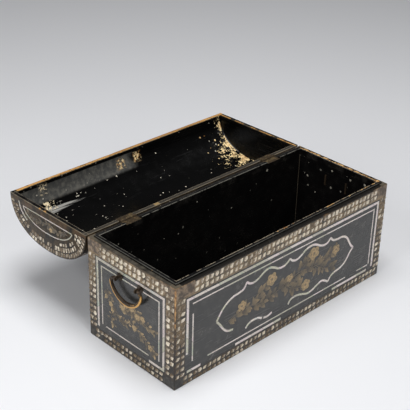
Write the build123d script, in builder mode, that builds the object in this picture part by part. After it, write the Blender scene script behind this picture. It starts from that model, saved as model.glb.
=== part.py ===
from build123d import *
from math import atan2, cos, degrees, radians, sin
import os

os.makedirs("parts", exist_ok=True)

# A long domed coffer, in millimetres. X runs along its length, Y from front to back and Z up.
# The origin is on the floor, under the middle of the box. The lid is modelled lying open.
box_length = 430.0
box_depth = 175.0
box_height = 158.0  # floor to the ledge that the lid rests on
wall_thickness = 12.0
bottom_thickness = 10.0
corner_radius = 1.5  # upright outer corners
edge_radius = 0.8  # top and bottom outer edges

# Strip let into the inner top edge of the walls, which stands above the ledge and centres the lid
lip_width = 5.6
lip_height = 2.8
lip_seat_depth = 7.2
lip_rounding = 0.7

# Lid, a shell of narrow staves on two end boards
lid_rise = 63.0  # rim to crown
lid_wall = 8.5
arch_power = 2.25  # 2 is an ellipse, more is fuller in the shoulders
stave_count = 9
lid_lip_gap = 0.4  # between the lip and the lid, beside it and above it
open_angle = 180.9  # from shut to lying open behind the box

# Hinges, two alike, their leaves let into the ledge and the lid's rim
hinge_inset = 73.0  # from each end of the box to the middle of a hinge
hinge_width = 28.0
leaf_thickness = 1.2
leaf_setback = 0.6  # from the leaf's edge to the inner face of the wall
axis_standoff = 1.8  # from the back of the box to the hinge line
knuckle_count = 3
knuckle_radius = 2.4
knuckle_gap = 0.3
hinge_pin_radius = 1.0
hinge_pin_clearance = 0.05
nail_spacing = 17.0
nail_head_radius = 1.7
nail_head_depth = 0.9
nail_radius = 0.8
nail_length = 8.0

# Drop handles, one on each end
eye_drop = 31.5  # from the ledge down to the handle's axis
eye_spacing = 40.6
eye_standoff = 7.0  # from the end of the box to the handle's axis
eye_hole_radius = 1.6
eye_wire_radius = 1.1
eye_shank_radius = 1.5
eye_shank_gap = 0.1
leg_length = 18.0
leg_width = 2.6
leg_thickness = 1.2
rosette_radius = 4.6
rosette_petal_radius = 1.4
rosette_petals = 8
rosette_thickness = 0.9
bail_width = 63.6
bail_drop = 33.0
bail_thickness = 4.0
bail_arm_width = 4.0
bail_grip_width = 6.6
bail_elbow_radius = 7.3  # middle of the bar, where it turns in to the eyes
bail_end_gap = 0.6  # from an eye to the shoulder of the bail
bail_stub_radius = 1.5
bail_stub_overrun = 1.6
bail_rounding = 1.2

# Wooden pegs, hidden under the lacquer
peg_radius = 2.0
peg_length = 22.0
peg_cover = 1.5
corner_peg_count = 3
corner_peg_margin = 30.0
bottom_peg_count = 5
bottom_peg_margin = 40.0
lid_peg_radius = 1.5
lid_peg_length = 13.0
lid_peg_cover = 1.0

# Mother-of-pearl strips, let in flush. Each inset runs from an edge of the face to the strip's middle.
pearl_depth = 0.8
thick_strip = 3.9
thin_strip = 2.0
long_thick_insets = {"top": 25.2, "right": 18.6, "bottom": 19.4, "left": 21.9}
long_thin_insets = {"top": 34.2, "right": 27.0, "bottom": 27.8, "left": 31.6}
end_thick_insets = {"top": 24.4, "right": 21.6, "bottom": 21.4, "left": 20.0}
end_thin_insets = {"top": 33.1, "right": 30.5, "bottom": 29.8, "left": 28.8}

# What is left of each line: a side and the ends of a stretch, from the face's left or its top.
# None is a corner, and a negative end is measured from the right or the bottom.
whole_frame = [("top", None, None), ("right", None, None), ("bottom", None, None), ("left", None, None)]
front_thick_runs = [
    ("top", None, None),
    ("right", None, None),
    ("left", None, 110.0),
    ("bottom", 22.0, 47.0),
    ("bottom", 113.0, 205.0),
    ("bottom", -112.0, -31.0),
]
front_thin_runs = [
    ("top", None, None),
    ("right", None, None),
    ("left", 50.0, 125.0),
    ("bottom", 60.0, -82.0),
    ("bottom", -55.0, -29.0),
]
left_thick_runs = [
    ("top", None, None),
    ("right", None, None),
    ("left", None, None),
    ("bottom", 125.0, -20.0),
]
left_thin_runs = [
    ("top", None, None),
    ("right", None, None),
    ("left", None, None),
    ("bottom", 36.5, 124.0),
]
back_thick_runs = [("top", None, None), ("right", None, None), ("left", None, None), ("bottom", None, -150.0)]

half_length = box_length / 2
half_depth = box_depth / 2
ledge_width = wall_thickness - lip_width
hinge_y = half_depth + axis_standoff
hinge_xs = {"left": -half_length + hinge_inset, "right": half_length - hinge_inset}
knuckle_room = knuckle_radius + knuckle_gap
droop = radians(open_angle - 180)

# Outer faces of the box, each with its origin in its middle and seen from outside
front_face = Plane(origin=(0, -half_depth, box_height / 2), x_dir=(1, 0, 0), z_dir=(0, -1, 0))
back_face = Plane(origin=(0, half_depth, box_height / 2), x_dir=(-1, 0, 0), z_dir=(0, 1, 0))
left_face = Plane(origin=(-half_length, 0, box_height / 2), x_dir=(0, -1, 0), z_dir=(-1, 0, 0))
right_face = Plane(origin=(half_length, 0, box_height / 2), x_dir=(0, 1, 0), z_dir=(1, 0, 0))

# The lid's own directions: from the hinge line to its front edge, and from its rim to its crown
lid_depth_dir = Vector(0, cos(droop), -sin(droop))
lid_rise_dir = Vector(0, -sin(droop), -cos(droop))


def save(piece, name):
    piece.part.label = name
    export_step(piece.part, f"parts/{name}.step")


def is_at(value, target):
    return abs(value - target) < 0.01


def spread(count, length, margin):
    """Evenly spaced places along a length, centred on 0, the outer ones a margin from its ends."""
    step = (length - 2 * margin) / (count - 1)
    return [(k - (count - 1) / 2) * step for k in range(count)]


def lid_plane(x):
    """A slice across the lid: its own X is the lid's depth, its own Y the lid's rise."""
    return Plane(origin=(x, hinge_y, box_height), x_dir=lid_depth_dir, z_dir=(-1, 0, 0))


def lid_level(x, depth, rise):
    """A plane parallel to the lid's rim that looks towards its crown."""
    spot = Vector(x, hinge_y, box_height) + lid_depth_dir * depth + lid_rise_dir * rise
    return Plane(origin=spot, x_dir=(-1, 0, 0), z_dir=lid_rise_dir)


# Pegs, nails, strips and hinge seats are made twice: once as the piece, once as the cut that takes it.
def peg(plane, radius, length, mode=Mode.ADD):
    with BuildSketch(plane) as end:
        Circle(radius)
    extrude(end.sketch, amount=length, mode=mode)


def nail(plane, mode=Mode.ADD):
    """A nail driven along the plane's normal, with a countersunk head flush with the plane."""
    with BuildSketch(plane) as head:
        Circle(nail_head_radius)
    with BuildSketch(plane.offset(nail_head_depth)) as neck:
        Circle(nail_radius)
    loft([head.sketch.face(), neck.sketch.face()], mode=mode)
    extrude(neck.sketch, amount=nail_length, mode=mode)


def strips(face, face_width, lines, mode=Mode.ADD):
    """Flush strips along the sides of a face. A line is its width, its insets and its stretches."""
    with BuildSketch(face) as layout:
        for width, insets, runs in lines:
            for side, start, end in runs:
                if side in ("top", "bottom"):
                    span = face_width
                    corners = (insets["left"] - width / 2, span - insets["right"] + width / 2)
                else:
                    span = box_height
                    corners = (insets["top"] + width / 2, span - insets["bottom"] - width / 2)
                first = corners[0] if start is None else start % span
                last = corners[1] if end is None else end % span
                along = (first + last) / 2 - span / 2
                inset = insets[side]
                if side == "top":
                    spot = (along, box_height / 2 - inset)
                elif side == "bottom":
                    spot = (along, inset - box_height / 2)
                elif side == "left":
                    spot = (inset - face_width / 2, -along)
                else:
                    spot = (face_width / 2 - inset, -along)
                size = (last - first, width) if side in ("top", "bottom") else (width, last - first)
                with Locations(spot):
                    Rectangle(*size)
    extrude(layout.sketch, amount=-pearl_depth, mode=mode)


def hinge_plane(side, lid):
    """Plane of a hinge's leaf: the origin is on the hinge line, and the normal points into the wood."""
    origin = (hinge_xs[side], hinge_y, box_height)
    if lid:
        return Plane(origin=origin, x_dir=(-1, 0, 0), z_dir=lid_rise_dir)
    return Plane(origin=origin, x_dir=(1, 0, 0), z_dir=(0, 0, -1))


def leaf_reach(lid):
    """From the hinge line to the far edge of a leaf."""
    return axis_standoff + (lid_wall if lid else wall_thickness) - leaf_setback


def hinge_recess(side, lid):
    """Cuts the seat of a leaf, and the hollow that clears the knuckles."""
    plane = hinge_plane(side, lid)
    with BuildSketch(plane) as seat:
        with Locations((0, leaf_reach(lid) / 2)):
            Rectangle(hinge_width, leaf_reach(lid))
    extrude(seat.sketch, amount=leaf_thickness, mode=Mode.SUBTRACT)
    with BuildSketch(Plane.YZ.offset(hinge_xs[side] - hinge_width / 2 - knuckle_gap)) as hollow:
        with Locations((hinge_y, box_height)):
            Circle(knuckle_room)
    extrude(hollow.sketch, amount=hinge_width + 2 * knuckle_gap, mode=Mode.SUBTRACT)


def leaf_nail_planes(side, lid):
    plane = hinge_plane(side, lid)
    row = (knuckle_room + axis_standoff + ledge_width) / 2
    places = []
    for x in (-nail_spacing / 2, nail_spacing / 2):
        origin = plane.from_local_coords((x, row, 0))
        places.append(Plane(origin=origin, x_dir=plane.x_dir, z_dir=plane.z_dir))
    return places


sides = ("left", "right")
box_nail_planes = [plane for side in sides for plane in leaf_nail_planes(side, False)]
lid_nail_planes = [plane for side in sides for plane in leaf_nail_planes(side, True)]

# Pegs through the long walls into the end walls, and through the long walls into the bottom
corner_peg_planes = []
bottom_peg_planes = []
for face, outward in ((front_face, -1), (back_face, 1)):
    peg_y = outward * (half_depth - peg_cover)
    for x in (-half_length + wall_thickness / 2, half_length - wall_thickness / 2):
        for height in spread(corner_peg_count, box_height, corner_peg_margin):
            origin = (x, peg_y, box_height / 2 + height)
            corner_peg_planes.append(Plane(origin=origin, z_dir=-face.z_dir))
    for x in spread(bottom_peg_count, box_length, bottom_peg_margin):
        origin = (x, peg_y, bottom_thickness / 2)
        bottom_peg_planes.append(Plane(origin=origin, z_dir=-face.z_dir))


def lip_seat():
    with BuildSketch(Plane.XY.offset(box_height - lip_seat_depth)) as seat:
        Rectangle(box_length - 2 * ledge_width, box_depth - 2 * ledge_width)
    extrude(seat.sketch, amount=lip_seat_depth, mode=Mode.SUBTRACT)


# Front and back walls, which run the whole length
long_walls = {
    "front_board": (-1, front_face, front_thick_runs, front_thin_runs),
    "back_board": (1, back_face, back_thick_runs, whole_frame),
}
for name, (outward, face, thick_runs, thin_runs) in long_walls.items():
    lines = [(thick_strip, long_thick_insets, thick_runs), (thin_strip, long_thin_insets, thin_runs)]
    outer_y = outward * half_depth
    with BuildPart() as board:
        with BuildSketch(Plane.XY):
            with Locations((0, outward * (half_depth - wall_thickness / 2))):
                Rectangle(box_length, wall_thickness)
        extrude(amount=box_height)
        upright = board.edges().filter_by(Axis.Z).filter_by(lambda e: is_at(e.center().Y, outer_y))
        fillet(upright, corner_radius)
        inner_y = outer_y - outward * wall_thickness
        for level in (0, box_height):
            rim = board.edges().filter_by(lambda e: is_at(e.bounding_box().min.Z, level))
            rim = rim.filter_by(lambda e: is_at(e.bounding_box().max.Z, level))
            fillet(rim.filter_by(lambda e: not is_at(e.center().Y, inner_y)), edge_radius)
        lip_seat()
        for plane in corner_peg_planes + bottom_peg_planes:
            if plane.origin.Y * outward > 0:
                peg(plane, peg_radius, peg_length, mode=Mode.SUBTRACT)
        strips(face, box_length, lines, mode=Mode.SUBTRACT)
        if name == "back_board":
            for side in sides:
                hinge_recess(side, lid=False)
            for plane in box_nail_planes:
                nail(plane, mode=Mode.SUBTRACT)
    save(board, name)
    with BuildPart() as pearl:
        strips(face, box_length, lines)
    save(pearl, name.replace("board", "pearl_strips"))

# End walls, between the long ones, each with the holes of its handle's two eyes
eye_z = box_height - eye_drop
eye_ys = (-eye_spacing / 2, eye_spacing / 2)


def eye_holes(face, radius, mode=Mode.SUBTRACT):
    with BuildSketch(face) as holes:
        with Locations((-eye_spacing / 2, eye_z - box_height / 2), (eye_spacing / 2, eye_z - box_height / 2)):
            Circle(radius)
    extrude(holes.sketch, amount=-wall_thickness, mode=mode)


end_walls = {
    "left": (-1, left_face, left_thick_runs, left_thin_runs),
    "right": (1, right_face, whole_frame, whole_frame),
}
for side, (outward, face, thick_runs, thin_runs) in end_walls.items():
    lines = [(thick_strip, end_thick_insets, thick_runs), (thin_strip, end_thin_insets, thin_runs)]
    with BuildPart() as board:
        with BuildSketch(Plane.XY):
            with Locations((outward * (half_length - wall_thickness / 2), 0)):
                Rectangle(wall_thickness, box_depth - 2 * wall_thickness)
        extrude(amount=box_height)
        outer = board.faces().sort_by(Axis.X)[-1 if outward > 0 else 0]
        fillet(outer.edges().filter_by(Axis.Y), edge_radius)
        lip_seat()
        for plane in corner_peg_planes:
            if plane.origin.X * outward > 0:
                peg(plane, peg_radius, peg_length, mode=Mode.SUBTRACT)
        strips(face, box_depth, lines, mode=Mode.SUBTRACT)
        eye_holes(face, eye_shank_radius + eye_shank_gap)
    save(board, f"{side}_end_board")
    with BuildPart() as pearl:
        strips(face, box_depth, lines)
        eye_holes(face, eye_shank_radius + eye_shank_gap)
    save(pearl, f"{side}_end_pearl_strips")

# Bottom, between the four walls
with BuildPart() as bottom:
    with BuildSketch(Plane.XY):
        Rectangle(box_length - 2 * wall_thickness, box_depth - 2 * wall_thickness)
    extrude(amount=bottom_thickness)
    for plane in bottom_peg_planes:
        peg(plane, peg_radius, peg_length, mode=Mode.SUBTRACT)
save(bottom, "bottom_board")

# Pegs of the box
for name, planes in (("corner_pegs", corner_peg_planes), ("bottom_pegs", bottom_peg_planes)):
    with BuildPart() as pegs:
        for plane in planes:
            peg(plane, peg_radius, peg_length)
    save(pegs, name)

# Lip, four strips in the seat at the top of the walls
lip_long = box_length - 2 * ledge_width
lip_short = box_depth - 2 * wall_thickness
lip_strips = {
    "front_lip": (0, -(half_depth - ledge_width - lip_width / 2), lip_long, lip_width),
    "back_lip": (0, half_depth - ledge_width - lip_width / 2, lip_long, lip_width),
    "left_lip": (-(half_length - ledge_width - lip_width / 2), 0, lip_width, lip_short),
    "right_lip": (half_length - ledge_width - lip_width / 2, 0, lip_width, lip_short),
}
for name, (x, y, length, width) in lip_strips.items():
    with BuildPart() as lip:
        with BuildSketch(Plane.XY.offset(box_height - lip_seat_depth)):
            with Locations((x, y)):
                Rectangle(length, width)
        extrude(amount=lip_seat_depth + lip_height)
        run = Axis.X if length > width else Axis.Y
        fillet(lip.faces().sort_by(Axis.Z)[-1].edges().filter_by(run), lip_rounding)
        if name == "back_lip":
            for side in sides:
                with BuildSketch(Plane.XY.offset(box_height)) as notch:
                    with Locations((hinge_xs[side], y)):
                        Rectangle(hinge_width + 2 * lid_lip_gap, lip_width)
                extrude(notch.sketch, amount=lip_height, mode=Mode.SUBTRACT)
                hinge_recess(side, lid=False)
    save(lip, name)


# Lid arch. Its angle runs from 0 at the front rim, over the crown, to 180 at the hinged rim.
def arch_point(angle, inward=0.0):
    """A point of the arch in a lid slice, moved into the wall along the arch's normal."""
    c = cos(radians(angle))
    s = sin(radians(angle))
    sign = 1 if c > 0 else -1
    depth = sign * abs(c) ** (2 / arch_power)
    rise = abs(s) ** (2 / arch_power)
    normal = Vector(sign * abs(depth) ** (arch_power - 1) / half_depth, rise ** (arch_power - 1) / lid_rise)
    centre = Vector(axis_standoff + half_depth, 0)
    return centre + Vector(depth * half_depth, rise * lid_rise) - normal.normalized() * inward


stave_angle = 180 / stave_count


def stave_arcs(k, inward):
    """Start, middle and end of one stave's arc."""
    return [arch_point((k + share) * stave_angle, inward) for share in (0, 0.5, 1)]


def lid_pocket(start_x, end_x):
    """Room for the lip inside the lid's rim."""
    land = ledge_width - lid_lip_gap
    with BuildSketch(lid_level((start_x + end_x) / 2, axis_standoff + half_depth, 0)) as pocket:
        Rectangle(end_x - start_x, box_depth - 2 * land)
    extrude(pocket.sketch, amount=lip_height + lid_lip_gap, mode=Mode.SUBTRACT)


def lid_peg_planes():
    """Pegs driven through each stave into the edge of each end board."""
    planes = []
    for end in (-1, 1):
        for k in range(stave_count):
            outer, inner = (arch_point((k + 0.5) * stave_angle, inward) for inward in (0, lid_wall))
            slice_plane = lid_plane(end * (half_length - lid_wall / 2))
            start = slice_plane.from_local_coords(outer)
            inward = (slice_plane.from_local_coords(inner) - start).normalized()
            planes.append(Plane(origin=start + inward * lid_peg_cover, z_dir=inward))
    return planes


pocket_end = half_length - (ledge_width - lid_lip_gap)
pocket_stops = [-pocket_end]
for side in sides:
    pocket_stops += [hinge_xs[side] - hinge_width / 2, hinge_xs[side] + hinge_width / 2]
pocket_stops.append(pocket_end)
stave_pegs = lid_peg_planes()

# Staves, from the lid's front edge over the crown to the hinged edge
for k in range(stave_count):
    with BuildPart() as stave:
        with BuildSketch(lid_plane(half_length)) as section:
            with BuildLine():
                outer = ThreePointArc(*stave_arcs(k, 0))
                inner = ThreePointArc(*stave_arcs(k, lid_wall))
                Line(outer @ 0, inner @ 0)
                Line(outer @ 1, inner @ 1)
            make_face()
        extrude(section.sketch, amount=box_length)
        if k == 0:
            lid_pocket(-pocket_end, pocket_end)
        if k == stave_count - 1:
            for start_x, end_x in zip(pocket_stops[::2], pocket_stops[1::2]):
                lid_pocket(start_x, end_x)
            for side in sides:
                hinge_recess(side, lid=True)
            for plane in lid_nail_planes:
                nail(plane, mode=Mode.SUBTRACT)
        for plane in stave_pegs[k::stave_count]:
            peg(plane, lid_peg_radius, lid_peg_length, mode=Mode.SUBTRACT)
    save(stave, f"lid_stave_{k + 1}")

# End boards of the lid, inside the ends of the staves
for side, outer_x in (("left", -half_length + lid_wall), ("right", half_length)):
    with BuildPart() as board:
        with BuildSketch(lid_plane(outer_x)) as outline:
            with BuildLine():
                arcs = [ThreePointArc(*stave_arcs(k, lid_wall)) for k in range(stave_count)]
                Line(arcs[-1] @ 1, arcs[0] @ 0)
            make_face()
        extrude(outline.sketch, amount=lid_wall)
        lid_pocket(-pocket_end, pocket_end)
        for plane in stave_pegs:
            if plane.origin.X * outer_x > 0:
                peg(plane, lid_peg_radius, lid_peg_length, mode=Mode.SUBTRACT)
    save(board, f"lid_{side}_end_board")

with BuildPart() as pegs:
    for plane in stave_pegs:
        peg(plane, lid_peg_radius, lid_peg_length)
save(pegs, "lid_pegs")


# Hinge leaves. The box's leaf has the first, third and any further odd knuckle, the lid's the others.
def hinge_leaf(side, lid):
    plane = hinge_plane(side, lid)
    knuckle_pitch = (hinge_width + knuckle_gap) / knuckle_count
    bore = hinge_pin_radius + (hinge_pin_clearance if lid else 0)
    reach = leaf_reach(lid)
    with BuildPart() as leaf:
        with BuildSketch(plane) as plate:
            with Locations((0, (knuckle_room + reach) / 2)):
                Rectangle(hinge_width, reach - knuckle_room)
        extrude(plate.sketch, amount=leaf_thickness)
        for k in range(1 if lid else 0, knuckle_count, 2):
            start = -hinge_width / 2 + k * knuckle_pitch
            length = knuckle_pitch - knuckle_gap
            with BuildSketch(plane) as tongue:
                with Locations((start + length / 2, knuckle_room / 2)):
                    Rectangle(length, knuckle_room)
            extrude(tongue.sketch, amount=leaf_thickness)
            with BuildSketch(Plane.YZ.offset(hinge_xs[side] + start)) as barrel:
                with Locations((hinge_y, box_height)):
                    Circle(knuckle_radius)
            extrude(barrel.sketch, amount=length)
        with BuildSketch(Plane.YZ.offset(hinge_xs[side] - hinge_width / 2)) as hole:
            with Locations((hinge_y, box_height)):
                Circle(bore)
        extrude(hole.sketch, amount=hinge_width, mode=Mode.SUBTRACT)
        for nail_plane in leaf_nail_planes(side, lid):
            nail(nail_plane, mode=Mode.SUBTRACT)
    return leaf


for side in sides:
    for owner, lid in (("box", False), ("lid", True)):
        save(hinge_leaf(side, lid), f"{side}_hinge_{owner}_leaf")
    with BuildPart() as pin:
        with BuildSketch(Plane.YZ.offset(hinge_xs[side] - hinge_width / 2)) as end:
            with Locations((hinge_y, box_height)):
                Circle(hinge_pin_radius)
        extrude(end.sketch, amount=hinge_width)
    save(pin, f"{side}_hinge_pin")

for owner, planes in (("box", box_nail_planes), ("lid", lid_nail_planes)):
    with BuildPart() as nails:
        for plane in planes:
            nail(plane)
    save(nails, f"{owner}_hinge_nails")


# Drop handles
def end_spot(outward, standoff, y):
    return (outward * (half_length + standoff), y, eye_z)


def rosettes(face):
    with BuildPart() as plates:
        with BuildSketch(face) as outline:
            for y in eye_ys:
                with Locations((y, eye_z - box_height / 2)):
                    Circle(rosette_radius)
                    with PolarLocations(rosette_radius, rosette_petals):
                        Circle(rosette_petal_radius)
                    Circle(eye_shank_radius + eye_shank_gap, mode=Mode.SUBTRACT)
        extrude(outline.sketch, amount=rosette_thickness)
    return plates


def eyes(outward, face):
    """Split pins: a ring outside the wall, a shank through it and two legs bent flat inside."""
    inward = -face.z_dir
    ring_radius = eye_hole_radius + eye_wire_radius
    shank_start = eye_standoff - ring_radius
    with BuildPart() as pins:
        for y in eye_ys:
            centre = end_spot(outward, eye_standoff, y)
            with BuildSketch(Plane(origin=centre)) as wire:
                with Locations((ring_radius, 0)):
                    Circle(eye_wire_radius)
            revolve(wire.sketch, axis=Axis(centre, (0, 1, 0)))
            with BuildSketch(Plane(origin=end_spot(outward, shank_start, y), z_dir=inward)) as end:
                Circle(eye_shank_radius)
            extrude(end.sketch, amount=shank_start + wall_thickness + leg_thickness)
            inner_spot = end_spot(outward, -wall_thickness, y)
            with BuildSketch(Plane(origin=inner_spot, x_dir=(0, 1, 0), z_dir=inward)) as legs:
                Rectangle(leg_width, leg_length)
            extrude(legs.sketch, amount=leg_thickness)
    return pins


def bar_edge(elbow_centre, elbow_radius, drop):
    """The grip's radius, and its angle from straight down where it meets the elbow smoothly."""
    y, z = elbow_centre
    radius = (y**2 + (z + drop) ** 2 - elbow_radius**2) / (2 * (z + drop - elbow_radius))
    angle = degrees(atan2(y, radius - drop - z))
    return radius, angle


def bail(outward, face):
    """A flat bar bent to a shallow bow, thicker in the grip, whose thin ends turn in to the eyes."""
    centre = end_spot(outward, eye_standoff, 0)
    half_arm = bail_arm_width / 2
    elbow_y = bail_width / 2 - half_arm - bail_elbow_radius
    elbow_centre = (elbow_y, -bail_elbow_radius)
    shoulder_y = eye_spacing / 2 + eye_wire_radius + bail_end_gap
    with BuildPart() as bar:
        with BuildSketch(Plane(origin=centre, x_dir=face.x_dir, z_dir=face.z_dir)) as outline:
            with BuildLine():
                for side, drop in ((1, bail_drop), (-1, bail_drop - bail_grip_width)):
                    elbow_radius = bail_elbow_radius + side * half_arm
                    grip_radius, angle = bar_edge(elbow_centre, elbow_radius, drop)
                    CenterArc((0, grip_radius - drop), grip_radius, 270 - angle, 2 * angle)
                    CenterArc(elbow_centre, elbow_radius, 90, angle - 180)
                    CenterArc((-elbow_y, -bail_elbow_radius), elbow_radius, 90, 180 - angle)
                    for end in (-1, 1):
                        Line((end * elbow_y, side * half_arm), (end * shoulder_y, side * half_arm))
                for end in (-1, 1):
                    Line((end * shoulder_y, half_arm), (end * shoulder_y, -half_arm))
            make_face()
        extrude(outline.sketch, amount=bail_thickness / 2, both=True)
        fillet(bar.edges().filter_by(Axis.X, reverse=True), bail_rounding)
        for end in (-1, 1):
            start = end_spot(outward, eye_standoff, end * shoulder_y)
            with BuildSketch(Plane(origin=start, z_dir=(0, -end, 0))) as stub:
                Circle(bail_stub_radius)
            extrude(stub.sketch, amount=bail_end_gap + 2 * eye_wire_radius + bail_stub_overrun)
    return bar


for side, (outward, face, thick_runs, thin_runs) in end_walls.items():
    save(rosettes(face), f"{side}_handle_rosettes")
    save(eyes(outward, face), f"{side}_handle_eyes")
    save(bail(outward, face), f"{side}_bail")
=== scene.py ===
import bpy
import random
from math import atan2, cos, pi, radians, sin
from mathutils import Matrix, Vector


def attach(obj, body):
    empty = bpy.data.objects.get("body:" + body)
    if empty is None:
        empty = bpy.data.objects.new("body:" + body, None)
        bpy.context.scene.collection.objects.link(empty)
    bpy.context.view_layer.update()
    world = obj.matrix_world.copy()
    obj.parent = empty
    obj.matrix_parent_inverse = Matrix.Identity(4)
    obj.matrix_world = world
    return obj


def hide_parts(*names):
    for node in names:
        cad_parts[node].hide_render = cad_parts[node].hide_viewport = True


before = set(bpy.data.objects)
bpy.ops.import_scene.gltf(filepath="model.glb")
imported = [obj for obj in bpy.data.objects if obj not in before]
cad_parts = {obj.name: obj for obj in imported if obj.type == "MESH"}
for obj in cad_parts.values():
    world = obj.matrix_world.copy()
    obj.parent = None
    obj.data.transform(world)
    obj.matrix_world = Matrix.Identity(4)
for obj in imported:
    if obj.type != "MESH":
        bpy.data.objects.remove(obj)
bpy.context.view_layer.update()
dice = random.Random(11)

# The coffer's own sizes, in metres, as in the CAD
coffer = {
    "halfLength": 0.215,
    "halfDepth": 0.0875,
    "height": 0.1580,
    "wall": 0.012,
    "lidRise": 0.063,
    "lidWall": 0.0085,
    "archPower": 2.25,
    "hingeY": 0.0893,
    "openAngle": 180.9,
}
halfLength = coffer["halfLength"]
halfDepth = coffer["halfDepth"]
height = coffer["height"]

# Lid pieces are made as on the shut box, then turned open about the hinge line
hingeSpot = Vector((0, coffer["hingeY"], height))
turnOpen = (
    Matrix.Translation(hingeSpot)
    @ Matrix.Rotation(-radians(coffer["openAngle"]), 4, "X")
    @ Matrix.Translation(-hingeSpot)
)
print("frame loaded")

camera = {
    "place": (-0.9654, -0.8900, 0.8816),
    "turn": (61.250, -1.381, -44.072),
    "lens": 92.885,
}
bpy.ops.object.camera_add(location=camera["place"], rotation=[radians(a) for a in camera["turn"]])
cameraObject = bpy.context.object
cameraObject.data.lens = camera["lens"]
cameraObject.data.sensor_width = 36.0
bpy.context.scene.camera = cameraObject
bpy.context.scene.view_settings.view_transform = "Standard"


def clearSelection():
    if bpy.context.object and bpy.context.object.mode != "OBJECT":
        bpy.ops.object.mode_set(mode="OBJECT")
    bpy.ops.object.select_all(action="DESELECT")


def pick(*objects):
    clearSelection()
    for piece in objects:
        piece.select_set(True)
    bpy.context.view_layer.objects.active = objects[0]


def applyPlace(piece):
    pick(piece)
    bpy.ops.object.transform_apply(location=True, rotation=True, scale=True)


# Adds a modifier with the given settings and applies it.
def modify(piece, kind, **settings):
    pick(piece)
    modifier = piece.modifiers.new(kind, kind)
    for setting, value in settings.items():
        setattr(modifier, setting, value)
    bpy.ops.object.modifier_apply(modifier=modifier.name)


# Names a finished piece and gives it its finish and its body.
def settle(piece, name, body, material):
    piece.name = name
    piece.data.name = name
    piece.data.materials.clear()
    piece.data.materials.append(material)
    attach(piece, body)


# A field is a value that changes over a surface, as a node gives it out. Arithmetic on fields adds the
# nodes that work it out.
class Field:
    def __init__(self, socket):
        self.socket = socket

    def __add__(self, other):
        return calc("ADD", self, other)

    def __sub__(self, other):
        return calc("SUBTRACT", self, other)

    def __rsub__(self, other):
        return calc("SUBTRACT", other, self)

    def __mul__(self, other):
        return calc("MULTIPLY", self, other)

    def __rmul__(self, other):
        return calc("MULTIPLY", other, self)

    def __truediv__(self, other):
        return calc("DIVIDE", self, other)

    def __rtruediv__(self, other):
        return calc("DIVIDE", other, self)

    def __pow__(self, other):
        return calc("POWER", self, other)

    def __abs__(self):
        return calc("ABSOLUTE", self)

    def __lt__(self, other):
        return calc("LESS_THAN", self, other)


# A new node in the tree that the given fields belong to.
def newNode(kind, *values):
    tree = next(value.socket.id_data for value in values if isinstance(value, Field))
    return tree.nodes.new(kind)


# Puts a field or a fixed value into a node's input.
def feed(value, socket):
    if isinstance(value, Field):
        socket.id_data.links.new(value.socket, socket)
    else:
        socket.default_value = value


def isVector(value):
    return value.socket.type == "VECTOR" if isinstance(value, Field) else isinstance(value, tuple)


def calc(operation, *values, clamp=False):
    vector = any(isVector(value) for value in values)
    node = newNode("ShaderNodeVectorMath" if vector else "ShaderNodeMath", *values)
    node.operation = operation
    if clamp:
        node.use_clamp = True
    for value, socket in zip(values, node.inputs):
        feed(value, socket)
    return Field(node.outputs[0])


# The strongest of several masks.
def most(first, *others):
    for other in others:
        first = calc("MAXIMUM", first, other)
    return first


def axes(vector):
    node = newNode("ShaderNodeSeparateXYZ", vector)
    feed(vector, node.inputs[0])
    return [Field(socket) for socket in node.outputs]


# A vector along x, y and z from one field.
def alike(value, along=(1, 1, 1)):
    node = newNode("ShaderNodeCombineXYZ", value)
    for share, socket in zip(along, node.inputs):
        if share:
            feed(value, socket)
    return Field(node.outputs[0])


# 0 below low and 1 above high, or the other way round when high is the smaller.
def step(value, low, high):
    node = newNode("ShaderNodeMapRange", value)
    node.interpolation_type = "SMOOTHSTEP"
    feed(value, node.inputs["Value"])
    if high < low:
        low, high = high, low
        node.inputs["To Min"].default_value = 1.0
        node.inputs["To Max"].default_value = 0.0
    node.inputs["From Min"].default_value = low
    node.inputs["From Max"].default_value = high
    return Field(node.outputs["Result"])


# Changes evenly from toLow, where the value is low, to toHigh, where it is high.
def span(value, low, high, toLow, toHigh):
    node = newNode("ShaderNodeMapRange", value)
    feed(value, node.inputs["Value"])
    for name, number in (("From Min", low), ("From Max", high), ("To Min", toLow), ("To Max", toHigh)):
        feed(number, node.inputs[name])
    return Field(node.outputs["Result"])


# The first amount where the mask is 0 and the second where it is 1.
def between(mask, first, second):
    return span(mask, 0.0, 1.0, first, second)


def cloud(place, scale, detail=3.0, rough=0.5):
    node = newNode("ShaderNodeTexNoise", place)
    feed(place, node.inputs["Vector"])
    feed(scale, node.inputs["Scale"])
    node.inputs["Detail"].default_value = detail
    node.inputs["Roughness"].default_value = rough
    return Field(node.outputs["Fac"])


def tint(share, first, second):
    node = newNode("ShaderNodeMix", share, first, second)
    node.data_type = "RGBA"
    feed(share, node.inputs[0])
    feed(first, node.inputs[6])
    feed(second, node.inputs[7])
    return Field(node.outputs[2])


# Colours laid over a base one after another, each through its mask.
def coats(base, *layers):
    for mask, hue in layers:
        base = tint(mask, base, hue)
    return base


# The tone that each tile or painted leaf carries in its mesh.
def ownTone(place):
    node = newNode("ShaderNodeAttribute", place)
    node.attribute_name = "tone"
    return Field(node.outputs["Fac"])


# A colour as picked on screen, 0 to 255, in the linear values that shaders use.
def colour(red, green, blue):
    linear = []
    for part in (red, green, blue):
        part /= 255
        linear.append(part / 12.92 if part <= 0.04045 else ((part + 0.055) / 1.055) ** 2.4)
    return (*linear, 1.0)


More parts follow.
